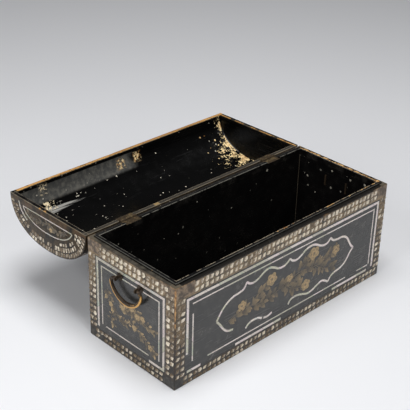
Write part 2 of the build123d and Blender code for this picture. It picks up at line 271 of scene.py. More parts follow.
# A shared effect. Draw gets the inputs as fields, in their order, and returns the outputs by name. The
# defaults of the inputs say what they are: three numbers are a vector, and four a colour.
def newGroup(name, draw, **inputs):
    tree = bpy.data.node_groups.new(name, "ShaderNodeTree")
    for label, default in inputs.items():
        size = len(default) if isinstance(default, tuple) else 1
        kind = {1: "NodeSocketFloat", 3: "NodeSocketVector", 4: "NodeSocketColor"}[size]
        tree.interface.new_socket(name=label, in_out="INPUT", socket_type=kind).default_value = default
    start = tree.nodes.new("NodeGroupInput")
    results = draw(*[Field(start.outputs[label]) for label in inputs])
    for label in results:
        kind = "NodeSocketColor" if label == "Colour" else "NodeSocketFloat"
        tree.interface.new_socket(name=label, in_out="OUTPUT", socket_type=kind)
    end = tree.nodes.new("NodeGroupOutput")
    for label, value in results.items():
        feed(value, end.inputs[label])
    return tree


def useGroup(group, **values):
    node = newNode("ShaderNodeGroup", *values.values())
    node.node_tree = group
    for label, value in values.items():
        feed(value, node.inputs[label])
    return {socket.name: Field(socket) for socket in node.outputs}


def newMaterial(name, roughness=0.4, coat=0.0, specular=0.5):
    material = bpy.data.materials.new(name)
    material.use_nodes = True
    shader = material.node_tree.nodes["Principled BSDF"]
    shader.inputs["Roughness"].default_value = roughness
    shader.inputs["Specular IOR Level"].default_value = specular
    shader.inputs["Coat Weight"].default_value = coat
    shader.inputs["Coat Roughness"].default_value = 0.1
    place = material.node_tree.nodes.new("ShaderNodeTexCoord")
    return material, shader, Field(place.outputs["Object"])


# Gives a shader its colour, its roughness and its fine relief.
def dress(shader, hue, roughness, relief, distance, strength):
    feed(hue, shader.inputs["Base Color"])
    feed(roughness, shader.inputs["Roughness"])
    bump = newNode("ShaderNodeBump", relief)
    bump.inputs["Distance"].default_value = distance
    bump.inputs["Strength"].default_value = strength
    feed(relief, bump.inputs["Height"])
    feed(Field(bump.outputs["Normal"]), shader.inputs["Normal"])


# Wear along the edges of a block: 1 on the edge, 0 inside the face
def drawEdgeRub(place, centre, half, width, ragged):
    x, y, z = axes(half - abs(place - centre))
    lowest = calc("MINIMUM", calc("MINIMUM", x, y), z)
    near = x + y + z - lowest - most(x, y, z)
    noise = cloud(place, 130.0, 5.0, 0.62) - 0.52
    return {"Mask": step((near - noise * ragged) / width, 1.0, 0.4)}


# Small chips and specks where lacquer has flaked off. Amount 0 is none, 1 is nearly all gone.
def drawFlakes(place, size, amount):
    blots = cloud(place, size, 6.0, 0.68)
    spots = cloud(place, size * 0.23, 2.0, 0.5)
    return {"Mask": step(blots * 0.7 + spots * 0.3 - between(amount, 0.70, 0.34), 0.0, 0.012)}


# Scattered small specks, each a ragged dot in its own cell. Share is how many of the cells have one.
def drawDots(place, pitch, radius, share):
    cells = newNode("ShaderNodeTexVoronoi", place)
    feed(place + alike(cloud(place, 900.0, 2.0) * 0.0022), cells.inputs["Vector"])
    feed(1.0 / pitch, cells.inputs["Scale"])
    chance, size, tone = axes(Field(cells.outputs["Color"]))
    isDot = Field(cells.outputs["Distance"]) * pitch < radius * between(size, 0.35, 1.0)
    return {"Mask": isDot * (chance < share), "Tone": tone}


# Band of sprinkled ground round a panel: 1 between the edge of the face and the insets
def drawBand(across, up, halfWidth, halfHeight, low, high, bottom, top):
    inside = 1.0
    for way, half, first, last in ((across, halfWidth, low, high), (up, halfHeight, bottom, top)):
        inside *= step(way + half - first, -0.0002, 0.0002)
        inside *= step(half - way - last, -0.0002, 0.0002)
    return {"Mask": 1.0 - inside}


# Tan and gold sprinkled ground between the pearl tiles
def drawSprinkled(place, dark, light):
    fine = cloud(place, 900.0, 4.0, 0.7)
    share = step(fine * 0.45 + cloud(place, 95.0, 4.0, 0.6) * 0.55, 0.40, 0.60)
    return {"Colour": tint(share, dark, light), "Height": fine}


# Old lacquer: broad unevenness, fine scratches, and a haze of dust and rubbing
def drawLacquer(place, haze):
    wide = cloud(place, 14.0, 3.0, 0.55)
    mist = cloud(place, 60.0, 6.0, 0.65)
    scratch = step(cloud(place * (26.0, 26.0, 420.0), 1.0, 2.0, 0.5), 0.63, 0.68)
    return {
        "Colour": tint(step(mist, 0.42, 0.78) * haze, colour(12, 11, 11), colour(92, 88, 82)),
        "Roughness": span(mist, 0.3, 0.7, 0.17, 0.30) + scratch * 0.10,
        "Height": wide + mist * 0.10,
    }


# Wood showing where lacquer is gone
def drawGrain(place, stretch, dark, light):
    grain = cloud(place * stretch, 1.6, 5.0, 0.6)
    return {"Colour": tint(step(grain, 0.35, 0.65), dark, light), "Height": grain}


# Mother-of-pearl: cream with passing pink and green. Bright 0 is a dull piece, 1 a bright one.
def drawPearl(place, bright, shift):
    moved = place + alike(shift, (1, 0, 0))
    wave = cloud(moved, 70.0, 3.0, 0.6)
    vein = cloud(moved * (300.0, 300.0, 900.0), 1.0, 4.0, 0.6)
    warm = tint(step(wave, 0.48, 0.64), colour(246, 233, 202), colour(242, 218, 214))
    cool = tint(step(wave, 0.44, 0.32), warm, colour(192, 218, 198))
    dull = tint(step(vein, 0.35, 0.7), colour(50, 39, 25), colour(146, 118, 76))
    return {"Colour": tint(bright, dull, cool), "Roughness": span(vein, 0.3, 0.7, 0.18, 0.34), "Height": vein}


# Old metal: dark patina that rubbing opens to bright metal
def drawPatina(place, worn, dark, bright):
    spots = cloud(place, 320.0, 5.0, 0.62)
    blots = cloud(place, 1100.0, 3.0, 0.6)
    opened = step(worn + (spots - 0.5) * 0.9, 0.30, 0.62)
    return {
        "Colour": tint(opened, tint(step(blots, 0.4, 0.65), dark, colour(84, 66, 46)), bright),
        "Roughness": between(opened, 0.52, 0.30),
        "Metallic": between(opened, 0.50, 0.72),
        "Height": spots + blots * 0.4,
    }


origin = (0, 0, 0)
edgeRub = newGroup("edgeRub", drawEdgeRub, Place=origin, Centre=origin, Half=(1, 1, 1), Width=0.001,
                   Ragged=0.002)
flakes = newGroup("flakes", drawFlakes, Place=origin, Size=120.0, Amount=0.2)
dots = newGroup("dots", drawDots, Place=origin, Pitch=0.01, Radius=0.001, Share=0.3)
borderBand = newGroup("borderBand", drawBand, Across=0.0, Up=0.0, HalfWidth=1.0, HalfHeight=1.0,
                      Low=0.01, High=0.01, Bottom=0.01, Top=0.01)
sprinkled = newGroup("sprinkled", drawSprinkled, Place=origin, Dark=colour(30, 25, 20),
                     Light=colour(104, 84, 58))
oldLacquer = newGroup("oldLacquer", drawLacquer, Place=origin, Haze=0.3)
bareGrain = newGroup("bareGrain", drawGrain, Place=origin, Stretch=(12.0, 160.0, 160.0),
                     Dark=colour(112, 72, 42), Light=colour(205, 160, 106))
pearlSheen = newGroup("pearlSheen", drawPearl, Place=origin, Bright=0.8, Shift=0.0)
patina = newGroup("patina", drawPatina, Place=origin, Worn=0.0, Dark=colour(38, 31, 25),
                  Bright=colour(204, 160, 92))
print("shared effects built")


# Lacquer of the box, one finish over its five boards
boxLook = {
    "longBorder": (0.0184, 0.0155, 0.0165, 0.0208),  # width of the tiled band at a face's low end, high
    "endBorder": (0.0178, 0.0160, 0.0185, 0.0212),   # end, bottom and top
    "haze": 0.72,                  # dust and rubbing on the outside
    "rubWidth": 0.0011,            # wood that shows along the edges,
    "nearRubWidth": 0.0024,        # and at the corner nearest to the camera
    "mountX": 0.033,               # plain ground that the lost corner mounts have left, from the corner
    "mountY": 0.029,               # along the length and the depth,
    "mountTop": 0.0180,            # and how far it goes down from the top and up from the bottom
    "mountLow": 0.0140,
    "speckPitch": 0.0125,          # pale specks inside
    "speckSize": 0.0024,
    "speckShare": 0.46,
}
boxFinish, shader, place = newMaterial("lacquer_box")
x, y, z = axes(place)
onLong = step(abs(y), halfDepth - 0.0010, halfDepth - 0.0006)
onEnd = step(abs(x), halfLength - 0.0010, halfLength - 0.0006)
outside = most(onLong, onEnd)
inside = 1.0 - outside
band = 0.0
for face, isFace, along, half in (("long", onLong, x, halfLength), ("end", onEnd, y, halfDepth)):
    low, high, bottom, top = boxLook[f"{face}Border"]
    strip = useGroup(borderBand, Across=along, Up=z - height / 2, HalfWidth=half, HalfHeight=height / 2,
                     Low=low, High=high, Bottom=bottom, Top=top)["Mask"]
    band = most(band, strip * isFace)
old = useGroup(oldLacquer, Place=place, Haze=between(outside, 0.04, boxLook["haze"]))
oldColour = tint(outside * 0.42, old["Colour"], colour(72, 72, 70))
upWall = step(z, 0.020, 0.130)
ground = useGroup(sprinkled, Place=place, Dark=tint(upWall, colour(18, 14, 9), colour(54, 44, 31)),
                  Light=tint(upWall, colour(60, 46, 30), colour(146, 122, 86)))

# Edges: dark along the top and down the corners, and rubbed to wood, most at the nearest corner
topEdge = step(z, height - 0.0017, height - 0.0014) * outside * between(onLong, 0.45, 1.0)
sideEdge = (step(abs(x), halfLength - 0.0026, halfLength - 0.0012)
            * step(abs(y), halfDepth - 0.0026, halfDepth - 0.0012))
nearEdge = (step(x, -halfLength + 0.010, -halfLength + 0.002)
            * step(y, -halfDepth + 0.010, -halfDepth + 0.002) * step(z, 0.096, 0.130))
rub = useGroup(edgeRub, Place=place, Centre=(0, 0, height / 2), Half=(halfLength, halfDepth, height / 2),
               Width=between(nearEdge, boxLook["rubWidth"], boxLook["nearRubWidth"]), Ragged=0.004)["Mask"]
rub = rub * between(step(z, height - 0.0030, height - 0.0018), 1.0, 0.25)
rubBright = step(x, -halfLength + 0.030, -halfLength) * step(y, -0.060, -halfDepth) * step(z, 0.070, 0.115)
rubBright = calc("ADD", rubBright, step(cloud(place, 28.0, 3.0), 0.64, 0.72), clamp=True)
wood = useGroup(bareGrain, Place=place)

# Inside: pale specks, and a pale line down each corner
specks = useGroup(dots, Place=place, Pitch=boxLook["speckPitch"], Radius=boxLook["speckSize"],
                  Share=inside * step(z, height - 0.0022, height - 0.0030) * boxLook["speckShare"])
speckTone = tint(specks["Tone"], colour(66, 66, 62), colour(190, 184, 168))
innerX = halfLength - coffer["wall"]
innerY = halfDepth - coffer["wall"]
cornerLine = (inside * step(abs(x), innerX - 0.0008, innerX - 0.0003)
              * step(abs(y), innerY - 0.0008, innerY - 0.0003))

# Ground at the corners, where mounts once kept it plain: brown-grey above, dark grey below
nearX = most(step(abs(x), halfLength - boxLook["mountX"] - 0.001, halfLength - boxLook["mountX"]), onEnd)
nearY = most(step(abs(y), halfDepth - boxLook["mountY"] - 0.001, halfDepth - boxLook["mountY"]), onLong)
corner = nearX * nearY * band
topCorner = corner * step(z, height - boxLook["mountTop"] - 0.0005, height - boxLook["mountTop"])
lowCorner = corner * step(z, boxLook["mountLow"] + 0.0005, boxLook["mountLow"])
patchShare = step(cloud(place, 130.0, 4.0, 0.6), 0.40, 0.62)

# Ledge that the lid rests on
onLedge = step(z, height - 0.0008, height - 0.0004)
ledgeWorn = (onLedge * step(x, -halfLength + 0.0075, -halfLength + 0.0055)
             * span(cloud(place, 90.0, 4.0, 0.6), 0.35, 0.65, 0.2, 1.0))
base = coats(
    tint(band, oldColour, ground["Colour"]),
    (onLedge * 0.6, colour(40, 38, 35)),
    (ledgeWorn, colour(84, 79, 70)),
    (topEdge, colour(5, 5, 5)),
    (sideEdge * 0.8, colour(26, 22, 19)),
    (topCorner, tint(patchShare, colour(76, 62, 48), colour(146, 124, 98))),
    (lowCorner, tint(patchShare, colour(34, 32, 30), colour(70, 66, 60))),
    (specks["Mask"], speckTone),
    (cornerLine, colour(92, 84, 72)),
    (rub, tint(rubBright, colour(66, 52, 40), wood["Colour"])),
)
rough = most(old["Roughness"], band * 0.42, rub * 0.6, specks["Mask"] * 0.6)
dress(shader, base, rough, old["Height"] + band * ground["Height"], 0.0004, 0.35)


def finishNodes(material, *names):
    for name in names:
        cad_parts[name].data.materials.clear()
        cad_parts[name].data.materials.append(material)


finishNodes(boxFinish, "front_board", "back_board", "left_end_board", "right_end_board", "bottom_board")

# Lip round the opening: black, with pale lines along its edges, and its inner edge rubbed to tan
# along the front from about a quarter of its length on, and along the right end
lip = {
    "inset": 0.0064,         # from the outside of the box to the lip
    "outerLine": 0.0009,     # width of the pale line along its outer edge
    "innerLine": 0.0041,     # from its outer edge to the broken line along its inner edge
    "frontRub": (-0.10, 0.03),   # where along the front the rubbing starts and where it is full
    "frontWorn": 0.11,       # how much of the front and of the right end is rubbed
    "rightWorn": 0.37,
}
lipFinish, shader, place = newMaterial("lacquer_lip")
x, y, z = axes(place)
old = useGroup(oldLacquer, Place=place, Haze=0.25)
rise = z - height
lipOver = most(abs(x) - (halfLength - lip["inset"]), abs(y) - (halfDepth - lip["inset"]))
lipNoise = cloud(place, 120.0, 6.0, 0.68)
lipTop = step(rise, 0.0022, 0.0025)
lipOuter = (lipTop * step(lipOver, -lip["outerLine"], -lip["outerLine"] + 0.0004)
            * span(cloud(place, 34.0, 3.0), 0.35, 0.60, 0.5, 1.0))
lipInner = lipTop * step(lipOver, -lip["innerLine"], -lip["innerLine"] - 0.0006) * step(lipNoise, 0.40, 0.50)
lipInnerTone = tint(step(y, -0.070, -0.078), colour(104, 102, 94), colour(184, 170, 146))
frontLip = step(y, -0.0788, -0.0782) * step(y, -0.0700, -0.0705) * step(x, *lip["frontRub"])
rightLip = step(x, 0.2040, 0.2046)
lipShare = most(frontLip, rightLip) * step(rise, 0.0002, 0.0012)
lipShare = lipShare * between(rightLip, lip["frontWorn"], lip["rightWorn"])
lipShare = lipShare * between(step(lipOver, -0.0026, -0.0040), 0.5, 1.6)
lipWorn = step(lipShare + lipNoise, 0.68, 0.74)
wood = useGroup(bareGrain, Place=place, Dark=colour(118, 78, 42), Light=colour(232, 188, 124))
base = coats(
    old["Colour"], (lipOuter, colour(92, 91, 85)), (lipInner, lipInnerTone), (lipWorn, wood["Colour"]),
)
dress(shader, base, most(old["Roughness"], lipWorn * 0.6), old["Height"], 0.0004, 0.35)
finishNodes(lipFinish, "front_lip", "back_lip", "left_lip", "right_lip")

# Pegs, under the lacquer
pegFinish, shader, place = newMaterial("peg_wood")
wood = useGroup(bareGrain, Place=place, Stretch=(120.0, 18.0, 120.0))
dress(shader, wood["Colour"], 0.6, wood["Height"], 0.0002, 0.3)
finishNodes(pegFinish, "corner_pegs", "bottom_pegs", "lid_pegs")


# Old metal. Worn is a function that draws the mask of its rubbed places from the Object place.
def metalFinish(name, worn, dark, bright):
    material, shader, place = newMaterial(name)
    metal = useGroup(patina, Place=place, Worn=worn(place), Dark=dark, Bright=bright)
    feed(metal["Metallic"], shader.inputs["Metallic"])
    dress(shader, metal["Colour"], metal["Roughness"], metal["Height"], 0.0003, 0.5)
    return material


# Handles: dark, with the outer and lower edge of each bail rubbed bright. The axis is the line
# that the bail turns about, and outer is from there to its lowest edge.
handle = {"axisX": 0.2220, "axisZ": 0.1265, "outer": 0.0329}


def bailWear(place):
    x, y, z = axes(place)
    down = z - handle["axisZ"]
    radius = calc("SQRT", y * y + down * down)
    edge = (step(radius, handle["outer"] - 0.0030, handle["outer"] - 0.0014)
            * step(abs(x), handle["axisX"] - 0.0006, handle["axisX"] + 0.0006))
    outward = step(abs(x), handle["axisX"] + 0.0012, handle["axisX"] + 0.0019)
    front = step(y, 0.004, -0.016) * outward
    return most(edge * 0.95, front * 0.34, outward * 0.20)


def evenWear(amount):
    return lambda place: cloud(place, 150.0, 3.0) * amount


darkMetal = colour(36, 29, 23)
bailMetal = metalFinish("bail_metal", bailWear, darkMetal, colour(212, 164, 94))
eyeMetal = metalFinish("eye_metal", evenWear(0.35), darkMetal, colour(176, 136, 82))
hingeMetal = metalFinish("hinge_metal", evenWear(0.62), colour(58, 50, 38), colour(164, 144, 104))
nailMetal = metalFinish("nail_metal", evenWear(0.8), colour(48, 40, 32), colour(168, 140, 98))
finishNodes(bailMetal, "left_bail", "right_bail")
for side in ("left", "right"):
    finishNodes(eyeMetal, f"{side}_handle_eyes", f"{side}_handle_rosettes")
    finishNodes(hingeMetal, f"{side}_hinge_box_leaf", f"{side}_hinge_lid_leaf", f"{side}_hinge_pin")
finishNodes(nailMetal, "box_hinge_nails", "lid_hinge_nails")
print("boards, lip and metal finished")

# Lid: one lacquered shell in place of the staves and end boards
lid = {
    "segments": 96,
    "edge": 0.0006,
    "flat": 0.0010,          # all the wall's points lower than this belong to the rim
    "land": 0.0060,          # flat rim outside the step for the box's lip
    "step": 0.0032,
    "backStep": 0.0785,      # how far back the step goes at the hinge leaves
    "leafX": (-0.142, 0.142),
    "leafHalf": 0.014,
    "leafReach": 0.0797,     # where the leaf ends, from the middle of the lid
    "leafDepth": 0.0012,
    "knuckleRoom": 0.0027,
    "slack": 0.0003,         # beside the knuckles
    "past": 0.002,           # how far the cutters reach past the surface
}


# Depth and rise of the lid's arch, from 0 at the front rim to 180 at the hinged rim.
def archPoint(angle, inward=0.0):
    power = coffer["archPower"]
    flat = cos(radians(angle))
    side = 1 if flat > 0 else -1
    depth = side * abs(flat) ** (2 / power)
    rise = abs(sin(radians(angle))) ** (2 / power)
    normal = Vector((-side * abs(depth) ** (power - 1) / halfDepth, rise ** (power - 1) / coffer["lidRise"]))
    normal.normalize()
    return Vector((-depth * halfDepth, height + rise * coffer["lidRise"])) - normal * inward, normal


bpy.ops.mesh.primitive_cylinder_add(
    vertices=lid["segments"], radius=1.0, depth=2 * halfLength, end_fill_type="NGON",
    rotation=(0, pi / 2, 0), location=(0, 0, height),
)
lidShell = bpy.context.object
applyPlace(lidShell)
bpy.ops.object.mode_set(mode="EDIT")
bpy.ops.mesh.select_all(action="SELECT")
bpy.ops.mesh.bisect(plane_co=(0, 0, height), plane_no=(0, 0, 1), clear_inner=True, threshold=0.0001)
bpy.ops.mesh.select_all(action="SELECT")
bpy.ops.mesh.remove_doubles(threshold=0.00005)
bpy.ops.object.mode_set(mode="OBJECT")
for vertex in lidShell.data.vertices:  # from a half circle to the fuller arch
    turn = atan2(max(vertex.co.z - height, 0.0), -vertex.co.y)
    vertex.co.y, vertex.co.z = archPoint(turn * 180 / pi)[0]
modify(lidShell, "SOLIDIFY", thickness=coffer["lidWall"], offset=-1.0, use_even_offset=True)
for vertex in lidShell.data.vertices:  # the rim stays flat across its width
    if vertex.co.z < height + lid["flat"]:
        vertex.co.z = height
modify(lidShell, "BEVEL", width=lid["edge"], segments=2, limit_method="ANGLE", angle_limit=radians(50))

cutters = []


# A block to be cut away, given by its ends along each direction.
def cutBox(*ends):
    bpy.ops.mesh.primitive_cube_add(size=1.0, location=[(low + high) / 2 for low, high in ends])
    block = bpy.context.object
    block.scale = [high - low for low, high in ends]
    applyPlace(block)
    cutters.append(block)


# Beside the hinge leaves the step for the box's lip goes further back than at them
rimCut = (height - lid["past"], height + lid["step"])
stepX = halfLength - lid["land"]
stepY = halfDepth - lid["land"]
cutBox((-stepX, stepX), (-stepY, lid["backStep"]), rimCut)
leaves = [(leafX - lid["leafHalf"], leafX + lid["leafHalf"]) for leafX in lid["leafX"]]
stops = [-stepX, *leaves[0], *leaves[1], stepX]
for start, end in zip(stops[::2], stops[1::2]):
    cutBox((start, end), (lid["backStep"], stepY), rimCut)
for leafX, leafEnds in zip(lid["leafX"], leaves):
    cutBox(leafEnds, (lid["leafReach"], halfDepth + 0.0025), (rimCut[0], height + lid["leafDepth"]))
    bpy.ops.mesh.primitive_cylinder_add(
        vertices=32, radius=lid["knuckleRoom"], depth=2 * (lid["leafHalf"] + lid["slack"]),
        rotation=(0, pi / 2, 0), location=(leafX, coffer["hingeY"], height),
    )
    cutters.append(bpy.context.object)
    applyPlace(cutters[-1])
for cutter in cutters:
    modify(lidShell, "BOOLEAN", operation="DIFFERENCE", solver="EXACT", object=cutter)
    bpy.data.objects.remove(cutter)
pick(lidShell)
bpy.ops.object.shade_smooth_by_angle(angle=radians(28))
lidShell.matrix_world = turnOpen
applyPlace(lidShell)


# The place that a point of the open lid has when the coffer is shut.
def shutPlace(place):
    node = newNode("ShaderNodeMapping", place)
    node.inputs["Rotation"].default_value = (radians(coffer["openAngle"]), 0, 0)
    node.inputs["Location"].default_value = turnOpen.inverted().to_translation()
    feed(place, node.inputs["Vector"])
    return Field(node.outputs[0])


# Lacquer of the lid, with its losses and its rubbed rim
lidLook = {
    "rightLoss": (0.028, 0.085),   # how far the losses reach from the right end, at the rim and up the arch
    "losses": (0.30, 0.80),        # share of the lacquer that is gone there
    "leftLossX": -0.161,
    "litBand": (0.0052, 0.0260),      # painted light on the wall inside, from and to above the rim
    "streakX": (-0.176, -0.098),
    "streakY": -0.0595,
    "patches": ((-0.016, 0.0160, 0.0100), (0.018, 0.0145, 0.0095), (-0.164, 0.0112, 0.0090)),
    "specks": (0.0095, 0.0018),    # pitch and size of the specks inside
    "fineSpecks": (0.0080, 0.0014),
    "strokes": (0.0090, 0.0010),
    "strokeStretch": (0.30, 1.0, 1.0),
    "endSpecks": 0.22,             # share of the right end's inside that is flecked
    "hazeOutside": 0.34,
    "band": 0.0200,                # width of the tiled band on the barrel
    "endBand": 0.0290,             # width of the band on the ends, in from the arch,
    "endFoot": 0.0126,             # and up from the rim
    "frontWorn": (0.18, 0.21),     # how much of the front rim is rubbed, at its left and its right
}


def lidSpecks(kind, place, share):
    pitch, size = lidLook[kind]
    return useGroup(dots, Place=place, Pitch=pitch, Radius=size, Share=share)


lidFinish, shader, place = newMaterial("lacquer_lid", specular=0.25)
shut = shutPlace(place)
x, y, z = axes(shut)
aboveRim = z - height
endDistance = halfLength - abs(x)
archDepth = (abs(y) / halfDepth) ** coffer["archPower"]
archRise = (most(aboveRim, 0.0) / coffer["lidRise"]) ** coffer["archPower"]
archLevel = archDepth + archRise
isInner = step(archLevel, 0.90, 0.86) * step(endDistance, 0.0060, 0.0070) * step(aboveRim, 0.0002, 0.0006)
isEnd = step(endDistance, 0.0006, 0.0003)
isDome = step(archLevel, 0.93, 0.97) * (1.0 - isEnd) * step(aboveRim, 0.0002, 0.0006)

# Gap from the edge of the arch, measured towards the middle of the end
archReach = calc("SQRT", y * y + aboveRim * aboveRim)
archGap = archReach / most(archLevel, 0.001) ** (1 / coffer["archPower"]) - archReach

# Losses inside, on the barrel: thick along the joint with the right end, and a few by the left end
fromRight = halfLength - coffer["lidWall"] - x
onBarrel = isInner * step(fromRight, 0.0002, 0.0006)
reach = span(y, -0.080, -0.035, *lidLook["rightLoss"])
rightLoss = most(1.0 - fromRight / reach, 0.0) * step(y, 0.020, 0.000) * step(fromRight, 0.0010, 0.0022)
rightLoss = rightLoss * span(cloud(place, 75.0, 3.0), 0.34, 0.60, *lidLook["losses"])
leftLoss = (step(abs(x - lidLook["leftLossX"]), 0.014, 0.008)
            * step(y, -0.058, -0.061) * step(y, -0.073, -0.070))
loss = useGroup(flakes, Place=place, Size=340.0, Amount=most(rightLoss, leftLoss * 0.50))["Mask"]
nearRight = step(fromRight, 0.090, 0.030) * 0.62
nearLeft = step(x, 0.03, -0.10) * 0.85
specks = lidSpecks("specks", place, most(nearRight, 0.03))
fineSpecks = lidSpecks("fineSpecks", place, most(nearRight, nearLeft, 0.16))
strokes = lidSpecks("strokes", shut * lidLook["strokeStretch"], nearLeft)
inLoss = onBarrel * most(loss, specks["Mask"])
inFine = onBarrel * most(fineSpecks["Mask"], strokes["Mask"])
lossTone = tint(step(cloud(place, 340.0, 4.0, 0.6), 0.38, 0.58), colour(160, 108, 50), colour(248, 222, 168))
lossTone = tint(step(x, -0.09, -0.12) * 0.6, lossTone, colour(250, 236, 204))
endSpecks = useGroup(flakes, Place=place, Size=90.0, Amount=lidLook["endSpecks"])["Mask"]
endSpecks = endSpecks * isInner * step(fromRight, 0.0, -0.0004) * 0.35

# Painted light on the front wall inside: a pale, rougher band over its left half, and a pale streak by the
# left end
litLow, litHigh = lidLook["litBand"]
litBand = (onBarrel * step(aboveRim, litHigh + 0.0050, litHigh) * step(aboveRim, litLow - 0.0012, litLow)
        * step(y, -0.030, -0.045) * step(x + cloud(place, 55.0, 4.0, 0.6) * 0.06, 0.052, 0.022))
litTone = tint(step(cloud(place, 150.0, 5.0, 0.66), 0.40, 0.66), colour(68, 68, 66), colour(98, 96, 90))
streakLeft, streakRight = lidLook["streakX"]
streakHalf = span(x, -0.172, -0.096, 0.0062, 0.0003)
streak = (onBarrel * step(x, streakRight, streakRight - 0.014) * step(x, streakLeft, streakLeft + 0.006)
          * step(abs(y - lidLook["streakY"]) / most(streakHalf, 0.0004), 1.0, 0.7)
          * step(cloud(place * (14.0, 520.0, 330.0), 1.0, 3.0, 0.6), 0.42, 0.54))

# Small patches inside, along the front rim: two that the lost hasp has left, and one by the left end.
# Each is its x, its height above the rim and half its width.
patches = 0.0
for patchX, patchRise, half in lidLook["patches"]:
    away = most(abs(x - patchX), abs(aboveRim - patchRise))
    patches = most(patches, step(away, half, half * 0.5) * step(y, -0.040, -0.060))
patches = patches * onBarrel * step(cloud(place, 210.0, 5.0, 0.66), 0.48, 0.54)

# Front rim rubbed to gold-brown wood all along, its inner edge black; the ends only in places
rimNoise = cloud(place, 260.0, 6.0, 0.70)
rimBreaks = cloud(place, 40.0, 4.0, 0.6)
onRim = step(aboveRim, 0.0014, 0.0006)
frontRim = step(y, -0.0812, -0.0822) * onRim * between(step(x, -0.12, 0.05), *lidLook["frontWorn"])
frontRim = step(frontRim + rimNoise, 0.56, 0.64)
frontRim = (frontRim * onRim * step(y, -0.0782, -0.0790) * step(x, -0.208, -0.204)
            * step(y, -halfDepth + 0.0002, -halfDepth + 0.0008))
onRight = onRim * step(x, 0.0, 0.1)
rightRim = step(endDistance, 0.0036, 0.0044) * onRight * span(abs(y + 0.008), 0.0, 0.080, 0.16, 0.30)
rightRim = step(rightRim + rimBreaks, 0.62, 0.68)
rightRim = rightRim * onRight * step(endDistance, 0.0068, 0.0060) * step(endDistance, 0.0030, 0.0040)
leftRim = onRim * step(endDistance, 0.0064, 0.0058) * step(x, 0.0, -0.1) * step(rimBreaks, 0.60, 0.66)
woodShare = most(frontRim, rightRim, leftRim)

# Pale lines along the rim's outer edge and along its step, dust and one bare spot on the hinged rim,
# and a pale line painted as a highlight where the barrel meets the right end
lineAt = lid["land"] - 0.0002
outerLine = (step(aboveRim, 0.0012, 0.0006)
             * most(step(endDistance, 0.0007, 0.0004), step(archGap, 0.0007, 0.0004)))
stepLine = (step(aboveRim, 0.0014, 0.0008)
            * most(step(abs(endDistance - lineAt), 0.0005, 0.0003),
                   step(abs(halfDepth - lineAt - abs(y)), 0.0005, 0.0003)))
rimLines = most(outerLine, stepLine) * span(rimBreaks, 0.35, 0.6, 0.3, 1.0)
hingeRim = onRim * step(y, 0.0775, 0.0790)
rimSpot = onRim * step(abs(x + 0.084), 0.0055, 0.0035) * step(y, 0.0740, 0.0760)
jointHighlight = onBarrel * step(fromRight, 0.0016, 0.0012) * step(y, -0.072, -0.066) * step(y, -0.030, -0.036)

# Sprinkled ground: bands on the ends and the barrel, and the painted middle of the ends
bandEdge = lidLook["band"]
lidBand = most(isEnd, isDome * most(step(aboveRim, bandEdge, bandEdge - 0.0006),
                                    step(endDistance, bandEdge, bandEdge - 0.0006)))
endMiddle = (isEnd * step(archGap, lidLook["endBand"] - 0.0015, lidLook["endBand"])
             * step(aboveRim, lidLook["endFoot"] - 0.0008, lidLook["endFoot"]))
endRim = isEnd * step(aboveRim, 0.0100, 0.0092) * step(cloud(place, 60.0, 5.0, 0.6), 0.45, 0.60)
ground = useGroup(sprinkled, Place=place, Dark=colour(16, 13, 9), Light=colour(74, 59, 38))
middle = useGroup(sprinkled, Place=place, Dark=colour(12, 10, 7), Light=colour(76, 61, 38))
wood = useGroup(bareGrain, Place=place, Dark=colour(116, 68, 28), Light=colour(212, 158, 92))
old = useGroup(oldLacquer, Place=place, Haze=between(isInner, lidLook["hazeOutside"], 0.00))
base = coats(
    tint(isInner, old["Colour"], colour(5, 5, 5)),
    (lidBand, ground["Colour"]),
    (endMiddle, middle["Colour"]),
    (endRim * 0.7, colour(96, 72, 48)),
    # painted light on the front wall inside
    (litBand, litTone),
    (streak * 0.8, colour(176, 174, 168)),
    (endSpecks, colour(120, 84, 46)),
    # painted highlight along the joint of the barrel and the right end
    (jointHighlight, colour(120, 118, 122)),
    (inFine, tint(fineSpecks["Tone"], colour(84, 82, 78), colour(216, 208, 190))),
    (most(inLoss, patches), lossTone),
    (hingeRim * 0.8, colour(66, 62, 56)),
    (rimSpot, colour(150, 126, 86)),
    (rimLines, colour(140, 130, 112)),
    (woodShare, tint(0.28, wood["Colour"], colour(236, 190, 116))),
)
rough = most(old["Roughness"], most(lidBand, endMiddle) * 0.42, most(inLoss, patches, litBand) * 0.7,
             woodShare * 0.6)
dress(shader, base, rough, old["Height"] + lidBand * ground["Height"] - inLoss, 0.0004, 0.35)
settle(lidShell, "lid_shell", "lid", lidFinish)
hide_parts(*[f"lid_stave_{k + 1}" for k in range(9)], "lid_left_end_board", "lid_right_end_board")
print("lid shell made")


# Surfaces that carry ornament. Ornament is made flat, with x across the surface, y up it and z out
# of it, and is then laid on.
def surfaceMatrix(middle, across, outward):
    across = Vector(across)
    outward = Vector(outward)
    matrix = Matrix((across, outward.cross(across), outward)).transposed().to_4x4()
    matrix.translation = middle
    return matrix


surfaces = {
    "front": surfaceMatrix((0, -halfDepth, height / 2), (1, 0, 0), (0, -1, 0)),
    "back": surfaceMatrix((0, halfDepth, height / 2), (-1, 0, 0), (0, 1, 0)),
    "left": surfaceMatrix((-halfLength, 0, height / 2), (0, -1, 0), (-1, 0, 0)),
    "right": surfaceMatrix((halfLength, 0, height / 2), (0, 1, 0), (1, 0, 0)),
    "lidLeft": surfaceMatrix((-halfLength, 0, height), (0, -1, 0), (-1, 0, 0)),
    "lidRight": surfaceMatrix((halfLength, 0, height), (0, 1, 0), (1, 0, 0)),
}


# The arch seen on the lid's end, moved in from its edge, as points across and above the rim.
def archLine(inward, lowest=0.0):
    line = []
    for k in range(181):
        spot = archPoint(k, inward)[0]
        if spot[1] >= height + lowest:
            line.append(Vector((spot[0], spot[1] - height)))
    return line


